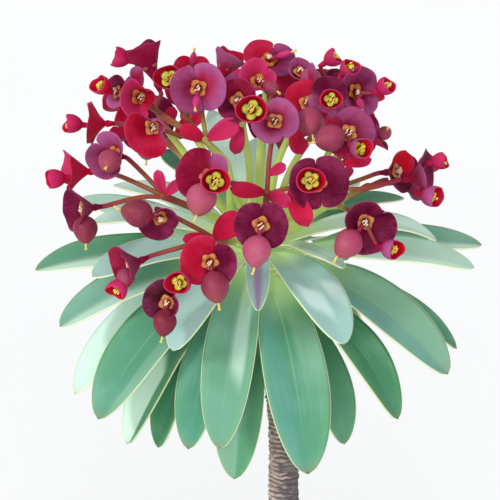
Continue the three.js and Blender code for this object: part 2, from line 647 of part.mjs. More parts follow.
// Sprays. `root` is where the ray leaves the head, in degrees round it and above level, and `ray`
// runs to the fork. Each bloom stands at its gland plate, on a stalk that passes its `via` places;
// its two lobes lie along `line`, or along a line turned so many degrees, and open so much further
// than their form. Young blooms grow out of its throat, and a capsule hangs out of it by so much to
// the right, up and near. Each bract runs from a fork to a tip and has a width.
const sprays = {
  spray_left_high: {
    root: [176, 34],
    ray: [[-27, 29, 14], [-37, 42, 18]],
    blooms: [
      {
        at: [-43, 66.4, 14], faces: [-0.42, 1, 0.1], line: [0.3, 0, 1], opens: [0, -6], form: "funnel",
        size: 17.5, via: [[-40.5, 50, 17]],
        young: [{ at: [-54.5, 69.6, 12], faces: [-0.95, 0.3, 0], size: 8.2, via: [[-47, 65.4, 12.5]] }],
      },
      {
        at: [-65, 43.4, 6], faces: [-1, 0, 0.12], line: [0, 0, 1], opens: [0, 20], form: "bowl",
        size: 12, via: [[-48, 42.5, 11]],
        young: [{ at: [-73.6, 43.2, 7], faces: [-1, 0.08, 0.2], size: 8.6 }],
      },
    ],
    bracts: [[[-37, 42, 18], [-33, 50, 20], 5]],
  },
  spray_left_top: {
    root: [192, 60],
    ray: [[-14, 28, 22], [-29, 46, 30]],
    blooms: [
      {
        at: [-35.2, 61.4, 36], faces: [-0.15, 0.12, 1], form: "cup", size: 11.6,
        via: [[-33.4, 54, 32]],
      },
      {
        at: [-26, 65, 17], faces: [0, 0.7, 0.75], turn: 6, form: "bowl", size: 9.4,
        via: [[-27, 56, 22]], capsule: [0.6, 4.2, 4], capsuleScale: 0.55, girth: 0.5,
      },
    ],
    bracts: [[[-29, 46, 30], [-31, 37, 34], 5]],
  },
  spray_top_left: {
    root: [220, 34],
    ray: [[-12, 27, 28], [-20.8, 36.8, 38]],
    blooms: [
      {
        at: [-23.4, 57.6, 46], faces: [-0.08, -0.22, 1], turn: 14, size: 12, via: [[-22, 48, 38]],
        capsule: [-0.8, -5.6, 4.6], capsuleScale: 0.5, girth: 0.6,
      },
      {
        at: [-56, 56, 25], faces: [-0.7, 0.1, 0.6], turn: 100, form: "bowl", size: 8.5,
        via: [[-33, 44, 38], [-44, 51, 28]],
        young: [{ at: [-62, 58.3, 30], faces: [-0.6, 0.35, 0.7], size: 8.2 }],
      },
      {
        at: [-47, 54, 36], faces: [0.35, -0.1, 0.9], turn: 196, opens: [-16, -76], form: "bowl",
        size: 14.5, via: [[-33, 43, 38], [-43, 50, 28]],
      },
      {
        at: [-41.6, 42, 50], faces: [0.15, -0.1, 0.95], line: [-0.75, -0.65, 0.05], opens: [4, -76],
        form: "bowl", size: 14.5, via: [[-32, 39, 40]],
      },
    ],
    bracts: [
      [[-20.8, 36.8, 38], [-31, 42, 46], 6],
      [[-20.8, 36.8, 38], [-7, 44, 43], 8],
      [[-47.4, 54.6, 32.6], [-48.4, 66.6, 32], 5.5],
    ],
  },
  spray_left_mid: {
    root: [204, 10],
    ray: [[-14, 4, 16], [-37.2, 14.4, 43]],
    blooms: [
      {
        at: [-57.4, 31, 38], faces: [-0.5, 0.1, 0.85], turn: 48, opens: [-25, 0], form: "bowl",
        size: 13, capsule: [-1.2, -3, 7.2], capsuleScale: 0.85,
      },
      {
        at: [-71.8, 24.4, 20], faces: [-1, 0.05, 0.15], line: [0, -0.6, 0.8], opens: [0, -24],
        form: "bowl", size: 12.5, via: [[-55, 22.4, 32]],
        young: [{ at: [-80.6, 21.4, 21], faces: [-1, -0.05, 0.25], size: 9 }],
      },
      {
        at: [-69.2, 9.4, 34], faces: [-0.8, -0.1, 0.6], line: [0.6, 0.1, 0.8], opens: [-28, 0],
        form: "bowl", size: 12.5, via: [[-46, 14, 40]], capsule: [0.6, -8.4, 3], capsuleScale: 0.9,
      },
    ],
    bracts: [
      [[-37.2, 14.4, 43], [-40, 25, 48], 4.5],
      [[-37.2, 14.4, 43], [-30.5, 20.5, 49], 4.5],
    ],
  },
  spray_left_low: {
    root: [240, 6],
    ray: [[-10, -4, 30], [-17.6, -2.4, 54]],
    blooms: [
      {
        at: [-38.8, 5.6, 62], faces: [0.2, -0.45, 0.85], turn: 58, opens: [-58, -8], size: 10,
        via: [[-27, 3, 58]], capsule: [-8.8, 2, 2.5],
      },
      {
        at: [-50.4, -13.2, 56], faces: [-0.75, -0.35, 0.5], line: [0.7, -0.1, 0.6], opens: [-28, 0],
        form: "bowl", size: 12, via: [[-30, -6, 57]], capsule: [-2, -5, 3], capsuleScale: 0.65,
        young: [{ at: [-55.5, -22.5, 60], faces: [-0.45, -0.7, 0.45], size: 8.4 }],
      },
      {
        at: [-18.8, -12, 72], faces: [0, -0.15, 1], turn: -18, opens: [-26, 0], size: 12.4,
        via: [[-18, -5, 62]], capsule: [2, -9.6, 3.5],
        young: [{ at: [-31, -20.2, 76], faces: [-0.3, -0.1, 0.95], size: 10.2, via: [[-27, -16, 66]] }],
      },
      {
        at: [-36, -28.4, 66], faces: [-0.15, -0.1, 0.95], turn: -34, opens: [-72, -4], size: 10.4,
        via: [[-24, -12, 58], [-33, -22, 58]], capsule: [-1, -7.6, 2.5], capsuleScale: 0.85,
      },
    ],
    bracts: [
      [[-17.6, -2.4, 54], [-30, -3, 62], 5],
      [[-17.6, -2.4, 54], [-5.5, 7, 65], 10],
    ],
  },
  spray_front: {
    root: [270, 28],
    ray: [[3, 6, 28], [4, 15.6, 52]],
    blooms: [
      {
        at: [1.6, 2.8, 80], faces: [0, -0.2, 1], turn: 0, size: 11.2,
        via: [[3, 10, 64]], capsule: [-1.6, -10, 3.5],
      },
      {
        at: [-19.6, 22, 62], faces: [-0.1, 0.35, 0.95], turn: -12, opens: [-58, 0], size: 13.4,
        via: [[-9, 19.5, 52]], capsule: [-2.6, -9, 5.6], capsuleScale: 1.08,
        young: [{ at: [-16.8, 20.4, 75], faces: [0.1, 0, 1], size: 11.8, via: [[-17.6, 20, 66]] }],
      },
      {
        at: [24.6, 19.6, 62], faces: [0.1, 0.05, 1], turn: 8, size: 12.6,
        via: [[13, 17.6, 54]],
        young: [{ at: [21.4, 20.6, 75], faces: [0, 0, 1], size: 11.7, via: [[23, 20, 66]] }],
      },
      {
        at: [7.2, 44.4, 54], faces: [0, 0.1, 1], turn: 24, size: 10.2, via: [[5, 30, 48]],
        young: [{ at: [-2, 48.8, 65], faces: [-0.05, 0.05, 1], size: 13, via: [[3, 46, 57]] }],
      },
    ],
    bracts: [
      [[4, 15.6, 52], [-11, 17.6, 62], 6.5],
      [[13, 17.6, 54], [20.6, 2, 68], 8.5],
      [[4, 15.6, 52], [14, 11, 62], 6],
      [[4.3, 22.6, 49.6], [11.5, 27, 53], 4.5],
    ],
  },
  spray_top: {
    root: [250, 60],
    ray: [[-3, 26, 14], [-6, 43.6, 24]],
    blooms: [
      {
        at: [-12.6, 66, 13], faces: [0.45, 0.9, 0.12], line: [0.1, 0.3, -0.95], opens: [-10, 4],
        form: "funnel", size: 15, via: [[-11, 54, 16]],
      },
      {
        at: [-7.6, 52.6, 42], faces: [-0.2, 0, 1], turn: 85, form: "bowl", size: 10.8,
        via: [[-7, 49, 30]],
      },
      {
        at: [0.7, 60.1, 29.4], faces: [0.3, 0.2, 0.9], turn: 150, opens: [0, -50], form: "bowl",
        size: 11.5, via: [[-3, 51, 24]], capsule: [4.8, -2.8, 4], capsuleScale: 0.55,
      },
    ],
    bracts: [[[-6, 43.6, 24], [-9, 31, 25], 6]],
  },
  spray_top_mid: {
    root: [60, 84],
    ray: [[1, 30, 4], [3, 50, 10]],
    blooms: [
      {
        at: [4.8, 69, 17], faces: [0.14, 0.6, 0.75], turn: -18, size: 11.4,
        via: [[3.3, 60, 11]], capsule: [6, 1.8, 3], capsuleScale: 0.55, girth: 0.5,
      },
      {
        at: [10, 59, 6], faces: [0.5, 0.75, -0.4], turn: 60, form: "bowl", size: 11,
        via: [[6, 54, 8]],
      },
    ],
    bracts: [],
  },
  spray_top_right: {
    root: [308, 60],
    ray: [[8, 27, 22], [14, 41, 30]],
    blooms: [
      {
        at: [17, 64.2, 29], faces: [0.15, 0.45, 0.85], turn: 60, opens: [0, -30], form: "bowl",
        size: 7.6, via: [[14, 54, 27]], capsule: [4.6, -3, 4.4], capsuleScale: 0.75,
      },
      {
        at: [28.6, 60.4, 12], faces: [0.1, 0.6, 0.5], turn: 10, form: "bowl", size: 9.6,
        via: [[22, 52, 20]],
        young: [{ at: [30, 69.4, 15], faces: [0.8, 0.5, 0.3], size: 7.4 }],
      },
      {
        at: [20, 51.6, 40], faces: [0, 0.35, 0.9], turn: 95, size: 10.5,
        via: [[16, 46, 34]], capsule: [1.2, -7.8, 6],
      },
      {
        at: [28.4, 54, 41.6], faces: [0, 0.1, 1], turn: 75, size: 9,
        via: [[20, 48, 32]],
        young: [{ at: [29.6, 53, 51], faces: [0, 0, 1], size: 9.2 }],
      },
    ],
    bracts: [
      [[14, 41, 30], [18, 31, 36], 7],
      [[21, 51, 35.6], [22, 68, 36], 3.6],
    ],
  },
  spray_right_high: {
    root: [2, 60],
    ray: [[24, 24, 8], [34, 43, 16]],
    blooms: [
      {
        at: [39.4, 56, 32.5], faces: [0.6, 0.05, 0.8], turn: 88, form: "bowl", size: 12.5,
        via: [[36.6, 50, 24]], capsule: [1.6, -5, 4], capsuleScale: 0.5, girth: 0.65,
        young: [{ at: [51, 58, 36], faces: [0.75, 0.4, 0.55], size: 7.6 }],
      },
      {
        at: [36.6, 65.2, 36], faces: [0.5, 0.4, 0.75], form: "cup", size: 7.8,
        via: [[35.6, 58, 24]],
      },
    ],
    bracts: [[[36.6, 50, 24], [33.4, 63.6, 33], 5]],
  },
  spray_right_mid: {
    root: [312, 34],
    ray: [[18, 18, 22], [33, 27, 36]],
    blooms: [
      {
        at: [36.6, 39.6, 54], faces: [0.1, 0.1, 1], turn: 34, size: 11.2,
        via: [[34, 33, 42]], capsule: [-7.4, -2.2, 4],
        young: [{ at: [41, 33.4, 66], faces: [0.5, 0, 0.85], size: 9.2 }],
      },
      {
        at: [50, 38, 36], faces: [0.9, 0.4, 0.2], turn: 80, form: "bowl", size: 7,
        via: [[43, 33, 37]], capsule: [1, 1.6, 4], capsuleScale: 0.5,
      },
    ],
    bracts: [[[33, 27, 36], [46, 29, 40], 5]],
  },
  spray_right: {
    root: [346, 34],
    ray: [[18, 11, 12], [31, 17.6, 18]],
    blooms: [
      {
        at: [56, 24.2, 21], faces: [0.75, 0.05, 0.6], turn: 76, opens: [-10, 0], form: "bowl",
        size: 11, via: [[42, 21.2, 19.6]],
      },
      {
        at: [65, 22, 34], faces: [1, 0.15, 0.2], line: [0.1, -0.75, 0.65], opens: [8, 0], form: "bowl",
        size: 13.4, via: [[45, 17.6, 26]],
        young: [
          { at: [73, 28.4, 36], faces: [1, 0.2, 0.3], size: 7.2 },
          { at: [69.4, 14.4, 44], faces: [0.8, -0.2, 0.55], size: 9.6, via: [[67, 19, 38]] },
        ],
      },
    ],
    bracts: [[[31, 17.6, 18], [38, 26, 12], 4]],
  },
  spray_right_low: {
    root: [300, 6],
    ray: [[18, 8, 26], [33, 10.8, 44]],
    blooms: [
      {
        at: [43.4, 4, 66], faces: [0.05, -0.12, 1], turn: -60, opens: [0, -56], size: 13.4,
        via: [[38, 8, 54]], capsule: [-7, -8.4, 4],
        young: [{ at: [53.4, -6.8, 74], faces: [0.7, -0.15, 0.65], size: 8.8 }],
      },
    ],
    bracts: [],
  },
  spray_back_left_high: {
    root: [150, 20],
    ray: [[-20, 20, -8], [-36, 36, -22]],
    blooms: [
      {
        at: [-51, 53, -30], faces: [-0.6, 0.7, -0.4], turn: 20, form: "bowl", size: 13.5,
        via: [[-43, 44, -25]],
      },
      {
        at: [-43, 43, -50], faces: [-0.4, 0.4, -0.85], turn: 10,
        via: [[-39, 39, -36]], capsule: [-1, -9, -6],
      },
      {
        at: [-52, 41, -34], faces: [-0.8, 0.4, -0.4], turn: 80, form: "bowl", size: 12.5,
        via: [[-44, 39, -28]],
      },
    ],
    bracts: [],
  },
  spray_back_left: {
    root: [128, 44],
    ray: [[-16, 25, -20], [-27, 41, -36]],
    blooms: [
      {
        at: [-25, 57, -52], faces: [-0.1, 0.6, -0.8], turn: 0, size: 13.5,
        via: [[-26, 49, -44]], capsule: [-1, -7, -8],
      },
    ],
    bracts: [[[-27, 41, -36], [-22, 48, -34], 5]],
  },
  spray_back: {
    root: [84, 56],
    ray: [[2, 30, -26], [2, 42, -42]],
    blooms: [
      {
        at: [8, 45, -66], faces: [0.05, 0.25, -0.95], turn: 0,
        via: [[5, 43, -52]], capsule: [1, -8, -6],
      },
      {
        at: [-6, 57, -44], faces: [-0.2, 0.8, -0.5], turn: 10, form: "bowl", size: 13,
        via: [[-2, 50, -40]],
        young: [{ at: [-8, 61, -56], faces: [-0.1, 0.5, -0.85], size: 9.5 }],
      },
    ],
    bracts: [],
  },
  spray_back_right: {
    root: [50, 36],
    ray: [[14, 26, -24], [23, 40, -42]],
    blooms: [
      {
        at: [22, 56, -54], faces: [0.1, 0.6, -0.8], turn: 0, size: 13.5,
        via: [[22, 48, -46]],
        young: [{ at: [20, 56, -66], faces: [0, 0.3, -0.95], size: 9.5 }],
      },
      {
        at: [36, 42, -58], faces: [0.35, 0.3, -0.9], turn: -10,
        via: [[29, 41, -50]], capsule: [1, -9, -6],
      },
    ],
    bracts: [[[23, 40, -42], [14, 40, -50], 6]],
  },
  spray_back_right_high: {
    root: [24, 14],
    ray: [[22, 20, -8], [37, 35, -20]],
    blooms: [
      {
        at: [40.6, 55, -27], faces: [0.4, 0.8, -0.4], turn: -20, form: "bowl", size: 13,
        via: [[40, 46, -22]],
      },
      {
        at: [40, 40, -46], faces: [0.4, 0.4, -0.85], turn: 70, size: 11.5,
        via: [[38, 38, -32]], capsule: [-1, -8, -7], capsuleScale: 0.9,
      },
    ],
    bracts: [],
  },
  spray_back_far_right: {
    root: [356, 8],
    ray: [[24, 8, -6], [44, 18, -18]],
    blooms: [
      {
        at: [60, 21, -24], faces: [0.9, 0.2, -0.35], turn: 80, form: "bowl", size: 12,
        via: [[52, 21, -22]],
        young: [{ at: [68, 27, -32], faces: [0.8, 0.2, -0.6], size: 9 }],
      },
    ],
    bracts: [],
  },
};

function makeSpray(spray) {
  const [round, rise] = spray.root.map(THREE.MathUtils.degToRad);
  const leaving = new THREE.Vector3(
    Math.cos(rise) * Math.cos(round),
    Math.cos(rise) * Math.sin(round),
    Math.sin(rise),
  );
  const start = foot.clone().addScaledVector(leaving, headRadius + gap + 0.4);
  const soon = foot.clone().addScaledVector(leaving, headRadius + 7);
  const way = spray.ray.map(seen);
  const fork = way[way.length - 1];
  const route = [start, soon, ...way];
  const rings = ringsAlong(
    route,
    evenShares(route, rayRingSpacing),
    5,
    (share) => rayRadius - rayTaper * share,
    Math.abs(leaving.z) > 0.7 ? viewRight : upright,
  );
  const onward = fork.clone().sub(way.at(-2) || soon).normalize();
  const end = fork.clone().addScaledVector(onward, 1.2);
  const rooted = fork.clone().addScaledVector(onward, -stalkSink);
  const solids = [solidOf(loft([[start], ...rings, [end]]))];
  for (const bloom of spray.blooms) solids.push(...makeBloom(bloom, rooted));
  for (const bract of spray.bracts) solids.push(forkBract(bract));
  return joined(solids);
}

// Materials

const finish = (color, roughness, metalness = 0) =>
  new THREE.MeshStandardMaterial({ color, roughness, metalness, flatShading: true });

const materials = {
  terracotta: () => finish(0xb5674a, 0.85),
  soil: () => finish(0x3a2b22, 0.95),
  bark: () => finish(0x8a7468, 0.85),
  leaf: () => finish(0x78ae92, 0.55),
  bloom: () => finish(0x8f1c3c, 0.5),
};

const plant = new THREE.Group();

function place(name, solid, material) {
  const mesh = new THREE.Mesh(geometryOf(solid), material());
  mesh.name = name;
  plant.add(mesh);
}

place("pot", makePot(), materials.terracotta);
place("soil", makeSoil(), materials.soil);
place("trunk", makeTrunk(), materials.bark);
for (const [name, leaf] of Object.entries(leaves)) place(name, makeLeaf(leaf), materials.leaf);
for (const [name, spray] of Object.entries(sprays)) place(name, makeSpray(spray), materials.bloom);

export default plant;
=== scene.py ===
import math
import random

import bpy
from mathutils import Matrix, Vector, noise


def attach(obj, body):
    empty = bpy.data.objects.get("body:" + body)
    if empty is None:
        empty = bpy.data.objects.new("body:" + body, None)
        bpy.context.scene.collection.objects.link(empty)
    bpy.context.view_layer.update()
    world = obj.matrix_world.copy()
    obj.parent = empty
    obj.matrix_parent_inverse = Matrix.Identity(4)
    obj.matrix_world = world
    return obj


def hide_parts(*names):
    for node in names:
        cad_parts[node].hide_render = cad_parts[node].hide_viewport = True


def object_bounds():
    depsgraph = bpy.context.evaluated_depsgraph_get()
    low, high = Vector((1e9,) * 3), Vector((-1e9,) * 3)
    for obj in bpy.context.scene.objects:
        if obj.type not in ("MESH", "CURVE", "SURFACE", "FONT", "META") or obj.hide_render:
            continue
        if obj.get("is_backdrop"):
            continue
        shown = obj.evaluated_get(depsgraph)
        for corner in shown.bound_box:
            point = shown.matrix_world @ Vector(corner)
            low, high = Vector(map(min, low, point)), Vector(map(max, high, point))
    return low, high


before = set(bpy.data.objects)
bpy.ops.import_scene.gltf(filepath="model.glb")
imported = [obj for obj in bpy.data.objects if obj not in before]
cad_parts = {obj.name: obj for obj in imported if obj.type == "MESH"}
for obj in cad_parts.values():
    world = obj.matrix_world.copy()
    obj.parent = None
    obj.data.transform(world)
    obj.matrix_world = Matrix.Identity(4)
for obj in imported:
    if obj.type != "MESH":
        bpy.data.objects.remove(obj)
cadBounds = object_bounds()
print("frame loaded:", len(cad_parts), "nodes")

mm = 0.001  # tables and shapes are in millimetres, meshes in metres
fullTurn = 6.28  # the end of the range for a random angle

# Where the camera stands, from the foot of the umbel
eye = {"foot": (-10.8, 0, 257), "rise": 20, "distance": 1200, "right": -2.8, "up": -7.2, "lens": 216}
foot = Vector(eye["foot"])
rise = math.radians(eye["rise"])
toRight = Vector((1, 0, 0))
toUp = Vector((0, math.sin(rise), math.cos(rise)))
toNear = Vector((0, -math.cos(rise), math.sin(rise)))
upright = Vector((0, 0, 1))


def addObject(name, data):
    made = bpy.data.objects.new(name, data)
    bpy.context.scene.collection.objects.link(made)
    return made


def makeCamera():
    lens = bpy.data.cameras.new("camera")
    lens.sensor_width = 36
    lens.lens = eye["lens"]
    lens.clip_end = 50
    camera = addObject("camera", lens)
    aim = foot + toRight * eye["right"] + toUp * eye["up"]
    camera.location = (aim + toNear * eye["distance"]) * mm
    camera.rotation_euler = (-toNear).to_track_quat("-Z", "Y").to_euler()
    bpy.context.scene.camera = camera


makeCamera()


def towards(direction):
    return toRight * direction[0] + toUp * direction[1] + toNear * direction[2]


# A place read as so far right of the umbel's foot, above it and nearer than it
def seen(place):
    shrink = 1 - place[2] / eye["distance"]
    right = eye["right"] + (place[0] - eye["right"]) * shrink
    up = eye["up"] + (place[1] - eye["up"]) * shrink
    return foot + towards((right, up, place[2]))


def lerp(a, b, share):
    return a + (b - a) * share


def clamp(value, low=0.0, high=1.0):
    return max(low, min(high, value))


def smooth(value, low, high):
    share = clamp((value - low) / (high - low))
    return share * share * (3 - 2 * share)


# So many angles, evenly round a full turn
def spokes(count):
    return [2 * math.pi * j / count for j in range(count)]


# The direction at an angle from one direction towards another
def swung(across, third, angle):
    return across * math.cos(angle) + third * math.sin(angle)


# A place on a circle, as how far right and how far back it is
def flat(radius, angle):
    return radius * math.cos(angle), radius * math.sin(angle)


def polar(radius, angle, height):
    return Vector((*flat(radius, angle), height))


# 1 in the middle, and less and less beyond the width
def hump(value, width):
    return math.exp(-(value / width) ** 2)


# Round a blade's section: over its upper side from one edge, then back below it
def roundBlade(steps):
    level = [j / steps for j in range(-steps, steps + 1)]
    return [(u, False) for u in level] + [(u, True) for u in reversed(level)]


# One value or colour of a material. Arithmetic on it adds the Math nodes that do it.
class Value:
    def __init__(self, look, socket):
        self.look = look
        self.socket = socket

    def math(self, operation, *terms):
        return self.look.node("Math", {"operation": operation}, dict(enumerate(terms)))

    def __add__(self, other):
        return self.math("ADD", self, other)

    def __radd__(self, other):
        return self.math("ADD", other, self)

    def __sub__(self, other):
        return self.math("SUBTRACT", self, other)

    def __rsub__(self, other):
        return self.math("SUBTRACT", other, self)

    def __mul__(self, other):
        return self.math("MULTIPLY", self, other)

    def __rmul__(self, other):
        return self.math("MULTIPLY", other, self)

    def __abs__(self):
        return self.math("ABSOLUTE", self)

    def sine(self):
        return self.math("SINE", self)

    def cosine(self):
        return self.math("COSINE", self)

    # 0 below low, 1 above high, and smooth between
    def ramp(self, low=0, high=1):
        settings = {"interpolation_type": "SMOOTHSTEP"}
        return self.look.node("MapRange", settings, {"Value": self, "From Min": low, "From Max": high})

    def fade(self, low, high):
        return 1 - self.ramp(low, high)


class Look:
    def __init__(self, name, **constants):
        self.material = bpy.data.materials.new(name)
        self.material.use_nodes = True
        self.tree = self.material.node_tree
        self.shader = self.tree.nodes["Principled BSDF"]
        self.place = self.node("TexCoord", out="Object")
        self.use(**constants)

    # Any node: its type, its settings, its sockets and the socket it gives
    def node(self, kind, settings=None, inputs=None, out=0):
        made = self.tree.nodes.new("ShaderNode" + kind)
        for name, value in (settings or {}).items():
            setattr(made, name, value)
        for name, value in (inputs or {}).items():
            self.feed(made.inputs[name], value)
        return Value(self, made.outputs[out])

    def feed(self, socket, value):
        if isinstance(value, Value):
            self.tree.links.new(value.socket, socket)
        elif socket.type == "RGBA" and len(value) == 3:
            socket.default_value = (*value, 1)
        else:
            socket.default_value = value

    def split(self, attribute):
        vector = self.node("Attribute", {"attribute_name": attribute}, out="Vector")
        return [self.node("SeparateXYZ", None, {0: vector}, out=axis) for axis in "XYZ"]

    # The two notes that a skin keeps at its points, as three values each
    def notes(self):
        return self.split("where"), self.split("lean")

    def vector(self, x, y, z):
        return self.node("CombineXYZ", None, {0: x, 1: y, 2: z})

    def noise(self, scale, detail=3, place=None):
        inputs = {"Vector": place or self.place, "Scale": scale, "Detail": detail, "Roughness": 0.55}
        return self.node("TexNoise", None, inputs)

    def cells(self, scale):
        inputs = {"Vector": self.place, "Scale": scale}
        return self.node("TexVoronoi", {"feature": "F1"}, inputs, "Distance")

    # One colour, or a colour with others laid over it, each by its own share
    def mix(self, colour, *coats):
        for coat, share in coats:
            inputs = {0: share, 6: colour, 7: coat}
            colour = self.node("Mix", {"data_type": "RGBA"}, inputs, out=2)
        return colour

    def shade(self, colour, factor):
        inputs = {0: 1.0, 6: colour, 7: self.vector(factor, factor, factor)}
        return self.node("Mix", {"data_type": "RGBA", "blend_type": "MULTIPLY"}, inputs, out=2)

    def bump(self, height, strength, distance):
        inputs = {"Strength": strength, "Distance": distance * mm, "Height": height}
        return self.node("Bump", None, inputs)

    def use(self, **sockets):
        for socket, value in sockets.items():
            self.feed(self.shader.inputs[socket.replace("_", " ")], value)
        return self.material


def hue(red, green, blue, gain=1.0, haze=0.0):
    linear = lambda c: c / 12.92 if c <= 0.04045 else ((c + 0.055) / 1.055) ** 2.4
    return tuple(max(0.002, (linear(c / 255) - haze) / gain) for c in (red, green, blue))


# The surface colour that looks like the one named, under the lamps and with its own gloss on it
def lit(red, green, blue):
    return hue(red, green, blue, 1.28, 0.03)


def litDark(red, green, blue):
    return hue(red, green, blue, 1.15, 0.012)


# Gathers the points and faces of one piece. Its rings are made of spots: a point and two notes that
# the materials read, where on its petal, blade or stalk the point is and how its colour leans.
class Skin:
    def __init__(self):
        self.points, self.faces, self.looks = [], [], []
        self.where, self.lean = [], []

    def ring(self, spots):
        first = len(self.points)
        for point, where, lean in spots:
            self.points.append(point)
            self.where.append(where)
            self.lean.append(lean)
        return list(range(first, len(self.points)))

    def point(self, place, where=(0, 0, 0), lean=(0, 0, 0)):
        return self.ring([(place, where, lean)])

    # A ring of so many spots, each worked out from its angle
    def circle(self, count, spotAt):
        return self.ring([spotAt(angle) for angle in spokes(count)])

    def plain(self, places):
        return self.ring([(place, (0, 0, 0), (0, 0, 0)) for place in places])

    def join(self, a, b, look):
        most = max(len(a), len(b))
        for j in range(most):
            k = (j + 1) % most
            if len(a) == 1:
                face = (a[0], b[k], b[j])
            elif len(b) == 1:
                face = (a[j], a[k], b[0])
            else:
                face = (a[j], a[k], b[k], b[j])
            self.faces.append(face)
            self.looks.append(look)

    def loft(self, rings, look=0):
        for a, b in zip(rings, rings[1:]):
            self.join(a, b, look)

    def mesh(self, name):
        mesh = bpy.data.meshes.new(name)
        mesh.from_pydata([p * mm for p in self.points], [], self.faces)
        return mesh

    def build(self, name, materials, slot, node):
        mesh = self.mesh(name)
        for material in materials:
            mesh.materials.append(material)
        mesh.polygons.foreach_set("material_index", self.looks)
        for attribute, values in (("where", self.where), ("lean", self.lean)):
            layer = mesh.attributes.new(attribute, "FLOAT_VECTOR", "POINT")
            layer.data.foreach_set("vector", [x for value in values for x in value])
        mesh.shade_smooth()
        mesh.validate()
        mesh.update()
        piece = addObject(name, mesh)
        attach(piece, "root")
        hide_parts(node)
        return piece


# A smooth path through places, as points about the spacing apart
def smoothPath(places, spacing):
    knots = [places[0] * 2 - places[1], *places, places[-1] * 2 - places[-2]]
    path = []
    for p0, p1, p2, p3 in zip(knots, knots[1:], knots[2:], knots[3:]):
        gaps = [max(1e-3, (b - a).length) ** 0.5 for a, b in ((p0, p1), (p1, p2), (p2, p3))]
        first = ((p1 - p0) / gaps[0] - (p2 - p0) / (gaps[0] + gaps[1]) + (p2 - p1) / gaps[1]) * gaps[1]
        last = ((p2 - p1) / gaps[1] - (p3 - p1) / (gaps[1] + gaps[2]) + (p3 - p2) / gaps[2]) * gaps[1]
        steps = max(2, round((p2 - p1).length / spacing))
        for i in range(steps):
            t = i / steps
            path.append(
                p1 * (2 * t**3 - 3 * t**2 + 1) + first * (t**3 - 2 * t**2 + t)
                + p2 * (3 * t**2 - 2 * t**3) + last * (t**3 - t**2)
            )
    path.append(places[-1].copy())
    return path


def directionAt(path, i):
    return (path[min(i + 1, len(path) - 1)] - path[max(i - 1, 0)]).normalized()


# A round stalk along a path, of one radius or of one that changes with the share of its length.
# How far each point is from the umbel's foot and from the stalk's end is noted for its colour.
def stalk(skin, path, radiusAt, sides, look, lean=(0, 0, 0), capped=True):
    normal = (toRight if abs((path[1] - path[0]).normalized().x) < 0.8 else upright).copy()
    total = sum((b - a).length for a, b in zip(path, path[1:]))
    rings = []
    gone = 0.0
    for i, centre in enumerate(path):
        if i:
            gone += (centre - path[i - 1]).length
        along = directionAt(path, i)
        normal = (normal - along * normal.dot(along)).normalized()
        across = along.cross(normal)
        radius = radiusAt(gone / total) if callable(radiusAt) else radiusAt
        out = (centre - foot).length
        spotAt = lambda a: (centre + swung(normal, across, a) * radius, (out, a, total - gone), lean)
        rings.append(skin.circle(sides, spotAt))
    if capped:
        start, end = (skin.point(p, ((p - foot).length, 0, 0), lean) for p in (path[0], path[-1]))
        skin.join(start, rings[0], look)
        skin.join(rings[-1], end, look)
    skin.loft(rings, look)


# Leaves

leafForm = {
    "thickness": 1.1, "edge": 0.7, "steps": 44, "halfSteps": 7, "crowding": 0.12, "gap": 0.35,
    "widest": 0.62, "tipTaper": 0.613, "footHalf": 2.3, "rootFold": 0.3, "tipFold": 0.14,
    "firstReach": 0.36, "archShare": 0.68, "rolled": 0.4, "wave": 0.5, "trough": 0.25, "rib": 0.35,
    "slant": 0.12, "unlike": 0.06,
}

# How blue, how pale and how dark a leaf is; how much bluer its half nearer to the viewer is, and how
# much paler that half is painted as painted light (darker below 0); and the painted sunlit patches
# on it: from and to where along it and across it, and how pale.
leafLooks = {
    "green": {"tint": (0.2, 0.05, 0.08)},
    "two": {"tint": (0.15, 0.0, 0.08), "blueLeft": 0.7, "sunPatches": [(0.3, 0.55, 0.2, 1.1, 0.15)]},
    "low": {"tint": (0.0, 0.1, 0.25), "sunPatches": [(0.75, 1.1, -1.1, 0.1, 0.2)]},
    "teal": {"tint": (0.5, 0.0, 0.2)},
    "olive": {"tint": (0.0, 0.0, 0.5)},
    "deep": {"tint": (0.0, 0.05, 0.4)},
    "fresh": {"tint": (0.3, 0.08, 0.0), "sunPatches": [(0.2, 0.9, 0.5, 1.1, 0.15)]},
    "broad": {"tint": (0.1, 0.3, 0.0), "blueNear": 0.9, "nearPaintedLight": -0.12},
    "split": {"tint": (0.25, 0.05, 0.1), "nearPaintedLight": 0.8},
    "half": {"tint": (0.4, 0.15, 0.0), "nearPaintedLight": 0.55},
    "mint": {"tint": (0.3, 0.6, 0.0), "nearPaintedLight": 0.25},
    "pale": {"tint": (0.4, 0.8, 0.0)},
    "blue": {"tint": (0.8, 0.6, 0.0)},
    # Its patches are painted highlights
    "glossy": {"tint": (0.9, 0.45, 0.0),
               "sunPatches": [(0.62, 0.82, -0.7, 0.15, 0.45), (0.5, 0.66, 0.4, 0.9, 0.45)]},
    "shaded": {"tint": (0.4, 0.0, 0.3)},
    "bright": {"tint": (0.0, 0.05, 0.15)},
    # Painted sunlight past a painted shadow near its root
    "ghost": {"tint": (0.4, 0.2, 0.0), "sunPatches": [(0.32, 1.2, -1.2, 1.2, 0.85)]},
    # Painted sunlight on its lower end
    "faded": {"tint": (0.15, 0.05, 0.15), "sunPatches": [(0.55, 1.2, -1.2, 0.5, 0.85)]},
    # A painted sunlit patch
    "patched": {"tint": (0.25, 0.12, 0.0), "sunPatches": [(0.12, 0.66, 0.03, 0.62, 0.5)]},
    "young": {"tint": (1.0, 0.55, 0.0)},
}

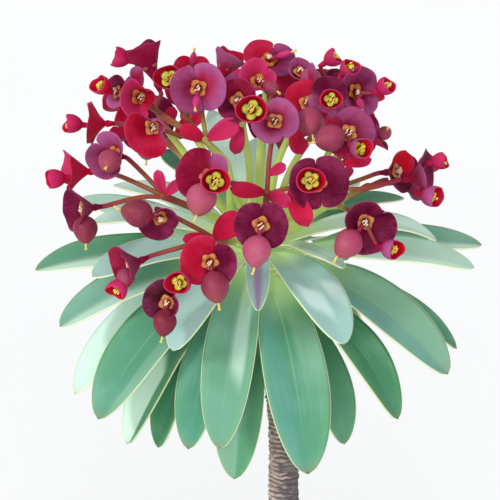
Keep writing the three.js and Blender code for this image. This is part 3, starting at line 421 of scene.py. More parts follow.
# Each leaf: its tip, how far below the umbel's foot it leaves the stem, how steeply it rises, how
# much it arches, its width, its look and its roll
leaves = {
    "front_long": ((20.4, -97, 44), 16, 8, 15, 25.5, "two"),
    "front_young": ((0.4, -31.6, 62), 3, 20, 9, 9.5, "young"),
    "front_left": ((-15, -87, 46), 12, 10, 14, 20.5, "patched"),
    "front_low": ((-9, -99, 22), 29, 0, 12, 20, "low"),
    "front_teal": ((-27.6, -87, 26), 21, 4, 13, 19, "teal"),
    "front_olive": ((-39.6, -86.4, 4), 31, 0, 13, 18, "olive"),
    "left_young": ((-33.6, -47.6, 54), 8, 14, 12, 18, "blue"),
    "left_hanging": ((-52, -85, 10), 27, 2, 14, 20, "faded"),
    "left_broad": ((-63.6, -75, 30), 18, 8, 15, 26, "fresh", -12),
    "left_pale": ((-73, -65, 0), 22.5, 8, 16.5, 24.5, "ghost", -13),
    "left_long": ((-79, -38, 22), 13.5, 10, 11, 23, "half", -9),
    "left_short": ((-66, -18, 34), 7, 16, 9, 19, "blue", -10),
    "left_level": ((-88.8, -15.2, 2), 10, 10, 8, 22, "split", -12),
    "right_glossy": ((34.8, -45, 60), 7, 16, 12, 21, "glossy"),
    "right_small": ((35, -14.4, 40), 3, 18, 5, 9, "mint"),
    "right_broad": ((76.4, -57, 28), 14, 12, 13.5, 27, "broad", 8),
    "right_behind": ((80, -46.8, 2), 19, 10, 14, 21, "shaded"),
    "right_hanging": ((56.4, -75, 20), 22, 6, 15, 21, "deep"),
    "right_low": ((35, -85, 12), 28, 2, 13, 20, "bright"),
    "right_level": ((87, -14.4, 10), 10, 11, 8, 21, "mint", 8),
    "right_far": ((90, -5, -24), 14, 13, 7, 21, "half", 12),
    "right_pale": ((72, -3.4, -4), 5, 20, 14.5, 17.5, "pale", 3),
    "back_left_green": ((-72, 13, -38), 11, 12, 5, 19, "mint", -8),
    "back_left_blue": ((-57, 19, -50), 7.5, 23, 8, 18, "pale"),
    "back_left_pale": ((-66, 4, -12), 4, 20, 8, 18, "pale", -6),
    "back_left_high": ((-37.6, 33, -52), 3, 34, 5, 17, "teal"),
    "back_high": ((-18.4, 49, -58), 1.5, 44, 3, 12, "pale"),
    "back_upright": ((2, 38, -64), 4, 30, 5, 16, "pale"),
    "back_right_green": ((58.4, 14, -42), 6, 20, 6, 19, "bright"),
    "back_right_pale": ((40, 20, -56), 4, 26, 5, 17, "pale"),
}
# The same for those that the viewer can't see; a tip is so many degrees round, so far out and below
hiddenLeaves = {
    "back_far_left": ((118, 84, 42), 14, 10, 14, 22, "green"),
    "back_far": ((92, 80, 38), 12, 8, 14, 22, "teal"),
    "back_far_right": ((64, 84, 40), 15, 10, 14, 22, "green"),
    "back_low_left": ((138, 70, 74), 25, 2, 14, 21, "deep"),
    "back_low": ((106, 48, 88), 30, 0, 14, 21, "green"),
    "back_low_right": ((51, 66, 72), 26, 2, 14, 21, "deep"),
    "back_side_left": ((160, 70, 44), 17, 8, 11, 19, "green"),
    "back_side_right": ((27, 80, 54), 18.5, 12, 10, 17, "mint"),
}

# The stem's radius at a height, as the leaves' roots meet it
stem = {
    "soil": 92, "radius": 6.4, "top": 5.2, "head": 8.2, "waist": 20, "dome": 3.4, "sink": 3.0,
    "path": [(0, 0, 46), (0, 0, 92), (0.3, 0.5, 142), (-0.5, 0, 177), (-6, 0, 215), (-10.8, 0, 239),
             (-10.8, 0, 261.5)],
    "sides": 72, "step": 0.34, "ridge": 0.8, "pitch": 2.05, "greenAbove": (-40, -26),
}


def stemRadius(height):
    share = (height - stem["soil"]) / (foot.z - stem["waist"] - stem["soil"])
    plain = clamp(lerp(stem["radius"], stem["top"], share), stem["top"], stem["radius"])
    below = foot.z - height
    swell = (stem["head"] - stem["top"]) * (1 - smooth(below, 1, 12))
    return plain + swell - stem["dome"] * smooth(-below, 1, 5)


def bladeHalf(width, share):
    form = leafForm
    taper = ((1 - share) / (1 - form["widest"])) ** form["tipTaper"]
    return width / 2 * share / form["widest"] * taper + form["footHalf"] * (1 - share) ** 5


def bezier(points, t):
    a, b, c, d = points
    place = a * (1 - t) ** 3 + b * 3 * t * (1 - t) ** 2 + c * 3 * t * t * (1 - t) + d * t**3
    along = (b - a) * (1 - t) ** 2 + (c - b) * 2 * t * (1 - t) + (d - c) * t * t
    return place, along.normalized()


# The four places that bend a leaf, its sideways direction and the one that it leaves the stem by
def leafCurve(tip, drop, rise, arch):
    form = leafForm
    height = foot.z - drop
    out = Vector((tip.x - foot.x, tip.y, 0)).normalized()
    angle = math.radians(rise)
    reach = stemRadius(height) + form["gap"] + form["thickness"]
    root = Vector((foot.x, 0, height)) + out * reach
    chord = tip - root
    start = swung(out, upright, angle) * chord.length * form["firstReach"]
    side = upright.cross(out).normalized()
    over = chord.cross(side).normalized()
    second = root + chord * form["archShare"] + over * arch
    return (root, root + start, second, tip), side, out


# 1 between two limits and 0 beyond them, with soft ends
def band(value, low, high, soft, softEnd):
    return smooth(value, low - soft, low + soft) * (1 - smooth(value, high - softEnd, high + softEnd))


# The colour of a leaf at a point so far along it and across it, with its painted light; `near` is the
# viewer's side
def leafTint(look, tint, t, u, near):
    blue, pale, dark = tint
    side = u * near
    # Painted light: the half nearer to the viewer is paler, or darker below 0
    pale += look.get("nearPaintedLight", 0) * smooth(side, -0.1, 0.6) * smooth(t, 0.08, 0.35)
    blue += look.get("blueNear", 0) * smooth(side, -0.2, 0.7)
    blue += look.get("blueLeft", 0) * smooth(-u, -0.2, 0.6)
    # Painted sunlit patches: paler where sunlight is painted on the leaf
    for start, end, low, high, amount in look.get("sunPatches", []):
        along = band(t - leafForm["slant"] * u, start, end, 0.04, 0.06)
        pale += amount * along * band(u, low, high, 0.08, 0.08)
    return clamp(blue), clamp(pale), clamp(dark)


def makeLeaf(name, tip, drop, rise, arch, width, lookName, roll=0):
    form = leafForm
    dice = random.Random(name)
    curve, side, out = leafCurve(tip, drop, rise, arch)
    length = (tip - curve[0]).length
    phases = [dice.uniform(0, fullTurn) for _ in range(3)]
    waves = form["wave"] * dice.uniform(0.6, 1.3)
    look = leafLooks[lookName]
    tint = [t + dice.uniform(-form["unlike"], form["unlike"]) for t in look["tint"]]
    near = 1 if side.y < 0 else -1
    skin = Skin()
    rings = []
    for i in range(form["steps"]):
        t = i / form["steps"]
        t = t + form["crowding"] * t * (1 - t) * (2 * t - 0.4)  # closer rings towards the tip
        centre, along = bezier(curve, t)
        level = swung(side, upright, math.radians(roll) * smooth(t, 0, form["rolled"]))
        across = (level - along * level.dot(along)).normalized()
        face = along.cross(across).normalized()
        half = bladeHalf(width, t)
        fold = half * lerp(form["rootFold"], form["tipFold"], t)
        thick = lerp(form["thickness"], form["edge"], t)
        spots = []
        for u, lower in roundBlade(form["halfSteps"]):
            wave = waves * u * u * math.sin(9 * t + phases[u > 0]) * math.sin(math.pi * t)
            trough = form["trough"] * hump(u * half, 0.9) * (1 - t)
            lift = fold * abs(u) ** 1.3 + wave + (trough if lower else -trough)
            if lower:
                lift -= lerp(thick, form["edge"] * 0.9, abs(u))
                lift -= form["rib"] * hump(u * half, 1.1) * (1 - t)
            edge = min(half * (1 - abs(u)), (1 - t) * length)
            point = centre + across * (u * half) + face * lift
            where = (t, u, -edge - 0.001 if lower else edge)
            spots.append((point, where, leafTint(look, tint, t, u, near)))
        rings.append(skin.ring(spots))
    end = skin.point(tip, (1, 0, 0), leafTint(look, tint, 1, 0, near))
    tone = leafTint(look, tint, 0, 0, near)
    sunk = [skin.points[k] - out * stem["sink"] for k in rings[0]]
    first = skin.ring([(point, skin.where[k], tone) for point, k in zip(sunk, rings[0])])
    root = skin.point(sum(sunk, Vector()) / len(sunk), (0, 0, 2), tone)
    skin.loft([root, first, *rings, end])
    material = youngMaterial if lookName == "young" else leafMaterial
    skin.build(name + "_blade", [material], "leaf", name)


# A leaf may be violet along its midrib
def leafLook(name, violet=0.0):
    # Emission_Strength gives the leaf a painted glow
    look = Look(name, Emission_Strength=0.26, Specular_IOR_Level=0.1)
    (along, across, edge), (blue, pale, dark) = look.notes()
    cloud = look.noise(45, 2)
    fine = look.noise(1100, 2)
    streak = look.noise(1.5, 3, look.vector(along * 1.4, across * 15, blue * 9 + pale * 5))
    veins = look.noise(1.3, 2, look.vector(along * 0.6, across * 34, dark * 7))
    side = abs(across)
    middle = side.fade(0.0, 0.9)
    colour = look.mix(
        lit(104, 168, 130),
        (lit(112, 178, 162), (blue + (cloud - 0.5) * 0.8).ramp()),
        (lit(80, 142, 84), dark),
        (lit(92, 162, 140), middle * along.ramp(0.25, 0.8) * 0.35 * (1 - pale)),
        (lit(132, 194, 146), side.ramp(0.5, 1.0) * 0.35 * (1 - pale)),
        # The pale coat: the leaf's own pale tint, and also its painted sunlit patches and painted near
        # half
        (look.mix(lit(220, 248, 226), (lit(212, 242, 238), blue)), pale * (0.85 + cloud * 0.3)),
    )
    colour = look.shade(colour, 0.94 + streak * 0.07 + veins * 0.06)
    wax = (cloud + streak * 0.3).ramp(0.62, 0.95)
    # Towards the root: the leaf's own paler yellow-green, painted brighter still as painted light
    # against the shade there
    root = along.fade(0.02, 0.46)
    rib = side.fade(0.0, 0.06) * along.fade(0.5, 1.0)
    colour = look.mix(
        colour,
        (lit(176, 222, 196), wax * 0.3),
        (lit(220, 246, 168), root * 0.9),
        (lit(206, 232, 196), rib * (0.2 + root * 0.5)),
    )
    if violet:
        blush = side.fade(0.1, 0.6) * along.ramp(0.2, 0.45)
        colour = look.mix(colour, (lit(178, 138, 186), blush * violet))
    under = (0 - edge).ramp(0.0, 0.3)
    dry = along.ramp(0.93, 1.0) * (cloud * 1.2).ramp(0.4, 0.8)
    speck = look.cells(300).fade(0.02, 0.05) * look.noise(60, 2).ramp(0.62, 0.72)
    margin = abs(edge).fade(0.1, 0.34)
    colour = look.mix(
        colour,
        (lit(150, 196, 160), under * 0.45),
        (lit(170, 140, 96), dry * 0.35),
        (lit(130, 126, 80), speck * 0.3),
        (lit(246, 250, 200), margin * 0.85),
    )
    # Painted glow: the leaf emits its own colour, most where pale, at the root and along the margin
    through = (pale * 0.9 + root * 0.9 + margin * 0.5).ramp()
    height = fine * 0.08 + streak * 0.2 + veins * 0.2 + margin * 0.3 - rib * 0.3
    return look.use(
        Base_Color=colour,
        Emission_Color=look.shade(colour, through),
        Roughness=0.36 + streak * 0.12 + cloud * 0.14,
        Normal=look.bump(height, 0.35, 0.3),
    )


leafMaterial = leafLook("leaf")
youngMaterial = leafLook("young leaf", violet=0.85)
for name, (tip, *rest) in leaves.items():
    makeLeaf("leaf_" + name, seen(tip), *rest)
for name, ((turn, reach, below), *rest) in hiddenLeaves.items():
    makeLeaf("leaf_" + name, foot + polar(reach, math.radians(turn), -below), *rest)
print("leaves:", len(leaves) + len(hiddenLeaves))

# Blooms

asBract, asGland, asStamen, asCapsule, asStalk, asStyle = range(6)  # as in the list of their materials
bloomForm = {
    "shell": 0.75, "rim": 0.35, "ruffle": 0.03, "gland": 3.3, "smallest": 11, "straight": 4.5,
    "stalk": 0.95, "youngGland": 0.29, "youngDepth": 0.42, "youngStraight": 2.6, "youngStalk": 0.8,
    "sink": 1.4, "spacing": 2.5, "throat": 1.5, "youngThroat": 1.25, "neck": 0.92, "steps": 12,
    "youngSteps": 9,
}
# How a wall leaves the bloom's axis and how it ends, in degrees, its plate's depth and its notch
forms = {
    "open": {"first": 40, "last": 92, "depth": 3.4, "notch": 0.62},
    "bowl": {"first": 34, "last": 66, "depth": 4.6, "notch": 0.6},
    "funnel": {"first": 12, "last": 44, "depth": 7.5, "notch": 0.6},
    "cup": {"first": 66, "last": -8},
}
# How red, how violet and how pink a lobe is; the rest is dark maroon, and below 0 darker, as painted
# shade
tones = {
    "x": (-0.8, 0.0, 0.0), "m": (0.0, 0.0, 0.0), "d": (0.3, 0.0, 0.0), "c": (0.6, 0.0, 0.05),
    "r": (1.0, 0.0, 0.0), "k": (0.9, 0.0, 0.4), "p": (0.7, 0.1, 0.9), "w": (0.12, 0.5, 0.05),
    "v": (0.3, 1.0, 0.05), "l": (0.45, 1.3, 0.15),
}
quarter = [0, 9, 18, 27, 36, 45, 54, 62, 69, 75, 80, 84, 87, 89]
pairAngles = quarter + [90] + [180 - a for a in reversed(quarter)]
pairAngles = [math.radians(a) for a in pairAngles + [a + 180 for a in pairAngles[1:-1]]]
cupAngles = [math.radians(10 * i) for i in range(36)]


# A bloom: its place and the way it faces; the tones of its two lobes inside, then outside, and how
# dark its capsule is; its size, its form, the turn of its lobes or the line they lie on, how much
# further each of them opens, the places its stalk passes, and its capsule's offset.
def bloom(at, faces, tones, size=14, form="open", turn=0, line=None, opens=(0, 0), via=(),
          capsule=None, scale=1, girth=1, young=()):
    return locals()


def young(at, faces, tones, size, *via):
    return bloom(at, faces, tones, size, "cup", via=via)


# Places round a bloom's axis, by their distance from it, their angle and their height
def bloomFrame(place, bloom):
    out = towards(bloom["faces"]).normalized()
    angle = math.radians(bloom["turn"])
    line = towards(bloom["line"] or (*flat(1, angle), 0))
    line = (line - out * line.dot(out)).normalized()
    across = out.cross(line)

    def at(radius, angle, height):
        x, y = flat(radius, angle)
        return place + line * x + across * y + out * height

    return at


def pairReach(size, notch, around):
    level = abs(math.cos(around))
    shoulder = 0.06 * math.sin(2 * around) ** 2
    return size * (notch + (1 - notch) * level**0.24 + shoulder + 0.04 * level**40)


def cupReach(size, around, phase):
    return size * (0.9 + 0.08 * math.cos(2 * around) + 0.03 * math.sin(3 * around + phase))


def wallPlace(form, length, share, further=0):
    first, last = math.radians(form["first"]), math.radians(form["last"] + further)
    angle = first + (last - first) * share
    bend = length / (last - first or 0.001)
    return bend * (math.cos(first) - math.cos(angle)), bend * (math.sin(angle) - math.sin(first)), angle


# How much of what holds for the first lobe holds at an angle
def firstShare(around):
    return smooth(math.cos(around), -0.3, 0.3)


# The bracts: one closed thin shell, its inside first, then its rim and its outside
def bractShell(skin, at, bloom, cup, dice):
    form, size = forms[bloom["form"]], bloom["size"]
    angles = cupAngles if cup else pairAngles
    steps = bloomForm["youngSteps" if cup else "steps"]
    phases = [dice.uniform(0, fullTurn) for _ in range(3)]
    ruffle = size * bloomForm["ruffle"]
    opens, otherOpens = bloom["opens"]

    def lean(around, outside):
        pair = bloom["tones"][2:4] if outside else bloom["tones"][:2]
        return tuple(lerp(b, a, firstShare(around)) for a, b in zip(*(tones[letter] for letter in pair)))

    def spot(share, depth, side, around):
        reach = cupReach(size, around, phases[2]) if cup else pairReach(size, form["notch"], around)
        further = lerp(otherOpens, opens, firstShare(around))
        radius, height, angle = wallPlace(form, reach, share, further)
        wave = math.sin(2 * around + phases[0]) + 0.7 * math.sin(5 * around + phases[1])
        height += ruffle * share * share * wave
        if not cup:
            height += 0.05 * size * share * share * math.sin(around) ** 2
            height -= 0.35 * hump(math.sin(around), 0.1) * share * (1 - share)
        radius += depth * math.cos(angle)
        height -= depth * math.sin(angle)
        return at(radius, around, height), (share, around, side), lean(around, side > 0.5)

    def ring(share, depth, side):
        return skin.ring([spot(share, depth, side, around) for around in angles])

    def collar(radius, height):
        return skin.ring([(at(radius, a, height), (0, a, 1), lean(a, True)) for a in angles])

    shell, thin = bloomForm["shell"], bloomForm["rim"]
    centre = skin.point(at(0, 0, 0.1), (0, 0, 0), lean(0, False))
    inside = [ring(i / steps, 0, 0.0) for i in range(1, steps + 1)]
    rim = ring(1.012, thin * 0.5, 0.5)
    outside = [ring(i / steps, lerp(shell, thin, (i / steps) ** 2), 1.0) for i in range(steps, 0, -1)]
    wide = bloomForm["youngThroat" if cup else "throat"]
    throat = [collar(wide, -0.5), collar(lerp(wide, 0.9, 0.6), -1.8), collar(bloomForm["neck"], -3.2)]
    base = skin.point(at(0, 0, -3.4), (0, 0, 1), lean(0, True))
    skin.loft([centre, *inside, rim, *outside, *throat, base], asBract)


# The gland plate: flat glands that meet in a diamond, round the hole that the stamens leave.
# Its outline's reach between the glands, what their corners add and how sharp they are.
plate = {
    "sides": 40, "glands": (4, 4, 5), "young": (0.74, 0.34, 2), "ripe": (0.9, 0.22, 6),
    "profile": [(0.6, -1.4), (0.98, -0.5), (1.0, 0.0), (0.95, 0.24), (0.82, 0.32), (0.66, 0.24),
                (0.5, 0.1), (0.42, -0.1), (0.32, -0.9)],
}


def glandPlate(skin, at, depth, radius, young, dice):
    count = dice.choice(plate["glands"])
    first = dice.uniform(0, fullTurn)
    between, more, sharp = plate["young" if young else "ripe"]

    def spot(share, height, around, lean):
        gap = abs(math.cos(count / 2 * (around - first))) ** 0.4
        corner = between + more * gap**sharp
        lift = height if height < 0.14 else lerp(0.0, height, 0.45 + 0.55 * gap)
        reach = radius * share * (corner if share > 0.4 else 1)
        return at(reach, around, depth + lift), (share, around, gap), lean

    rings = []
    for share, height in plate["profile"]:
        lean = (float(young), dice.random(), 0)
        rings.append(skin.circle(plate["sides"], lambda a: spot(share, height, a, lean)))
    low = skin.point(at(0, 0, depth - 1.8))
    hole = skin.point(at(0, 0, depth - 1.1))
    skin.loft([low, *rings, hole], asGland)


def bead(skin, centre, along, half, girth, look, lean, far=0):
    across = along.orthogonal().normalized()
    third = along.cross(across)
    rings = [skin.point(centre - along * half, (far, 0, 0), lean)]
    for i in range(1, 5):
        tilt = math.pi * i / 5
        level, reach = centre - along * half * math.cos(tilt), girth * math.sin(tilt)
        spotAt = lambda a: (level + swung(across, third, a) * reach, (far + i / 5, 0, 0), lean)
        rings.append(skin.circle(8, spotAt))
    rings.append(skin.point(centre + along * half, (far + 1, 0, 0), lean))
    skin.loft(rings, look)


# Stamens: short threads with a two-lobed anther
stamenForm = {  # fewest and most of them, how far they spread and how tall they are at most
    "young": {"count": (6, 8), "spread": 1.0, "tall": 2.2},
    "ripe": {"count": (3, 5), "spread": 0.75, "tall": 1.5},
    "thread": 0.2, "anther": (0.42, 0.34), "apart": 0.32,
}


def stamens(skin, at, depth, young, dice):
    form = stamenForm["young" if young else "ripe"]
    count = dice.randint(*form["count"])
    for i in range(count):
        around = 2 * math.pi * (i + dice.uniform(-0.25, 0.25)) / count
        spread = dice.uniform(0.2, form["spread"])
        tall = dice.uniform(0.9, form["tall"])
        start = at(0.5 * spread, around, depth - 0.9)
        top = at(1.5 * spread, around, depth + tall)
        along = (top - start).normalized()
        lean = (float(young), dice.random(), 0)
        way = [start, (start + top) / 2, top]
        stalk(skin, way, stamenForm["thread"], 6, asStamen, lean, capped=False)
        sideways = along.orthogonal().normalized() * stamenForm["apart"]
        for sign in (-1, 1):
            bead(skin, top + sideways * sign, along, *stamenForm["anther"], asStamen, lean)


# A smooth three-lobed seed capsule, hanging on its neck and ending in its style
capsuleForm = {
    "length": 12.8, "width": 10.8, "neck": 0.85, "sides": 27, "steps": 16, "lobes": 0.025,
    "style": 2.4, "styleWidth": (0.5, 0.34), "tip": 0.3,
}


def makeCapsule(skin, start, offset, scale, wide, dark, dice):
    form = capsuleForm
    along = offset.normalized()
    length = form["length"] * scale
    neck = offset.length - length / 2
    across = along.cross(toRight).normalized()
    third = along.cross(across)
    tone = (dark, dice.random(), wide)
    phase = dice.uniform(0, fullTurn)

    def spot(share, girth, around):
        lobed = 1 + form["lobes"] * math.cos(3 * around + phase)
        radius = form["width"] * scale * wide / 2 * girth * lobed
        place = start + along * (neck + share * length) + swung(across, third, around) * radius
        return place, (share, around, 0), tone

    rings = [skin.point(start + along * neck, (0, 0, 0), tone)]
    for i in range(1, form["steps"]):
        share = 0.5 - 0.5 * math.cos(math.pi * i / form["steps"])
        girth = math.sin(math.pi * share**0.86) ** 0.6 * (1.0 - 0.12 * (share - 0.42))
        rings.append(skin.circle(form["sides"], lambda a: spot(share, girth, a)))
    rings.append(skin.point(start + along * (neck + length), (1, 0, 0), tone))
    skin.loft(rings, asCapsule)
    held = [start - along * 0.8, start + along * neck * 0.5, start + along * (neck + 0.6)]
    stalk(skin, held, lambda share: form["neck"] * (0.85 + 0.4 * share), 10, asStalk, (0.1, 0.5, 1))
    end = start + along * (neck + length - 0.3)
    bend = (across * dice.uniform(-0.5, 0.5) + third * dice.uniform(-0.5, 0.5)) * 0.6
    reach = form["style"] * max(scale, 0.6)
    tip = end + along * reach + bend
    thinner = lambda share: lerp(*form["styleWidth"], share)
    stalk(skin, [end, end + along * reach * 0.55, tip], thinner, 8, asStyle)
    for i in range(3):
        split = tip + swung(across, third, 2.1 * i + phase) * 0.55 + along * 0.45
        stalk(skin, [tip, (tip + split) / 2, split], form["tip"], 6, asStyle)


def makeBloom(skin, bloom, root, dice, green):
    cup = bloom["form"] == "cup"
    size = bloom["size"]
    depth = bloomForm["youngDepth"] * size if cup else forms[bloom["form"]]["depth"]
    place = seen(bloom["at"])
    out = towards(bloom["faces"]).normalized()
    base = place - out * depth
    at = bloomFrame(base, bloom)
    bractShell(skin, at, bloom, cup, dice)
    ripe = bloomForm["gland"] * min(1, size / bloomForm["smallest"])
    glandPlate(skin, at, depth, size * bloomForm["youngGland"] if cup else ripe, cup, dice)
    stamens(skin, at, depth + 0.3, cup, dice)
    measures = ("youngStraight", "youngStalk") if cup else ("straight", "stalk")
    straight, thick = (bloomForm[measure] for measure in measures)
    way = [root, *map(seen, bloom["via"]), base - out * straight, base - out * 1.2]
    path = smoothPath(way, bloomForm["spacing"])
    stalk(skin, path, thick, 10, asStalk, (green, dice.random(), 1))
    if bloom["capsule"]:
        dark = int(bloom["tones"][4:] or 4) / 10
        makeCapsule(skin, place, towards(bloom["capsule"]), bloom["scale"], bloom["girth"], dark, dice)
    for youngOne in bloom["young"]:
        makeBloom(skin, youngOne, place - out * 0.5, dice, 0)


# A leafy bract at a fork: a small folded blade, from its root to its tip and so wide
forkForm = {"steps": 12, "halfSteps": 4, "bow": 0.1, "fold": 0.3, "thick": 0.8, "thinner": 0.25}


def forkBract(skin, start, end, width, tone):
    form = forkForm
    start, end = seen(start), seen(end)
    length = (end - start).length
    along = (end - start).normalized()
    across = toNear.cross(along)
    if across.length < 0.3:
        across = toUp.cross(along)
    across.normalize()
    face = along.cross(across)
    rings = [skin.point(start, (0.2, 0, 0), tone)]
    for i in range(1, form["steps"]):
        share = i / form["steps"]
        reach = width / 2 * min(1, 1.5 * share**0.7 * (1 - share**4) ** 0.6)
        centre = start + along * length * share + face * form["bow"] * length * math.sin(math.pi * share)
        spots = []
        for u, lower in roundBlade(form["halfSteps"]):
            thick = form["thick"] - form["thinner"] * abs(u) if lower else 0
            lift = form["fold"] * reach * abs(u) ** 1.2 - thick
            pale = lerp(0.3, 1.0, max(abs(u) ** 3, share**4))
            spots.append((centre + across * u * reach + face * lift, (pale, 0, float(lower)), tone))
        rings.append(skin.ring(spots))
    rings.append(skin.point(end, (1, 0, 0), tone))
    skin.loft(rings, asBract)


# A spray: how many degrees round and up it leaves the umbel's foot, how far out it is green, where
# its ray passes and ends, the bracts at its forks (tone, tip, width and the root if that isn't the
# ray's end), and its blooms.
def spray(root, green, ray, bracts, *blooms):
    return locals()


rayForm = {
    "radius": 1.55, "taper": 0.2, "swell": 0.3, "spacing": 3.0, "sink": 3.0, "straight": 7,
    "knot": (2.2, 1.75),
}

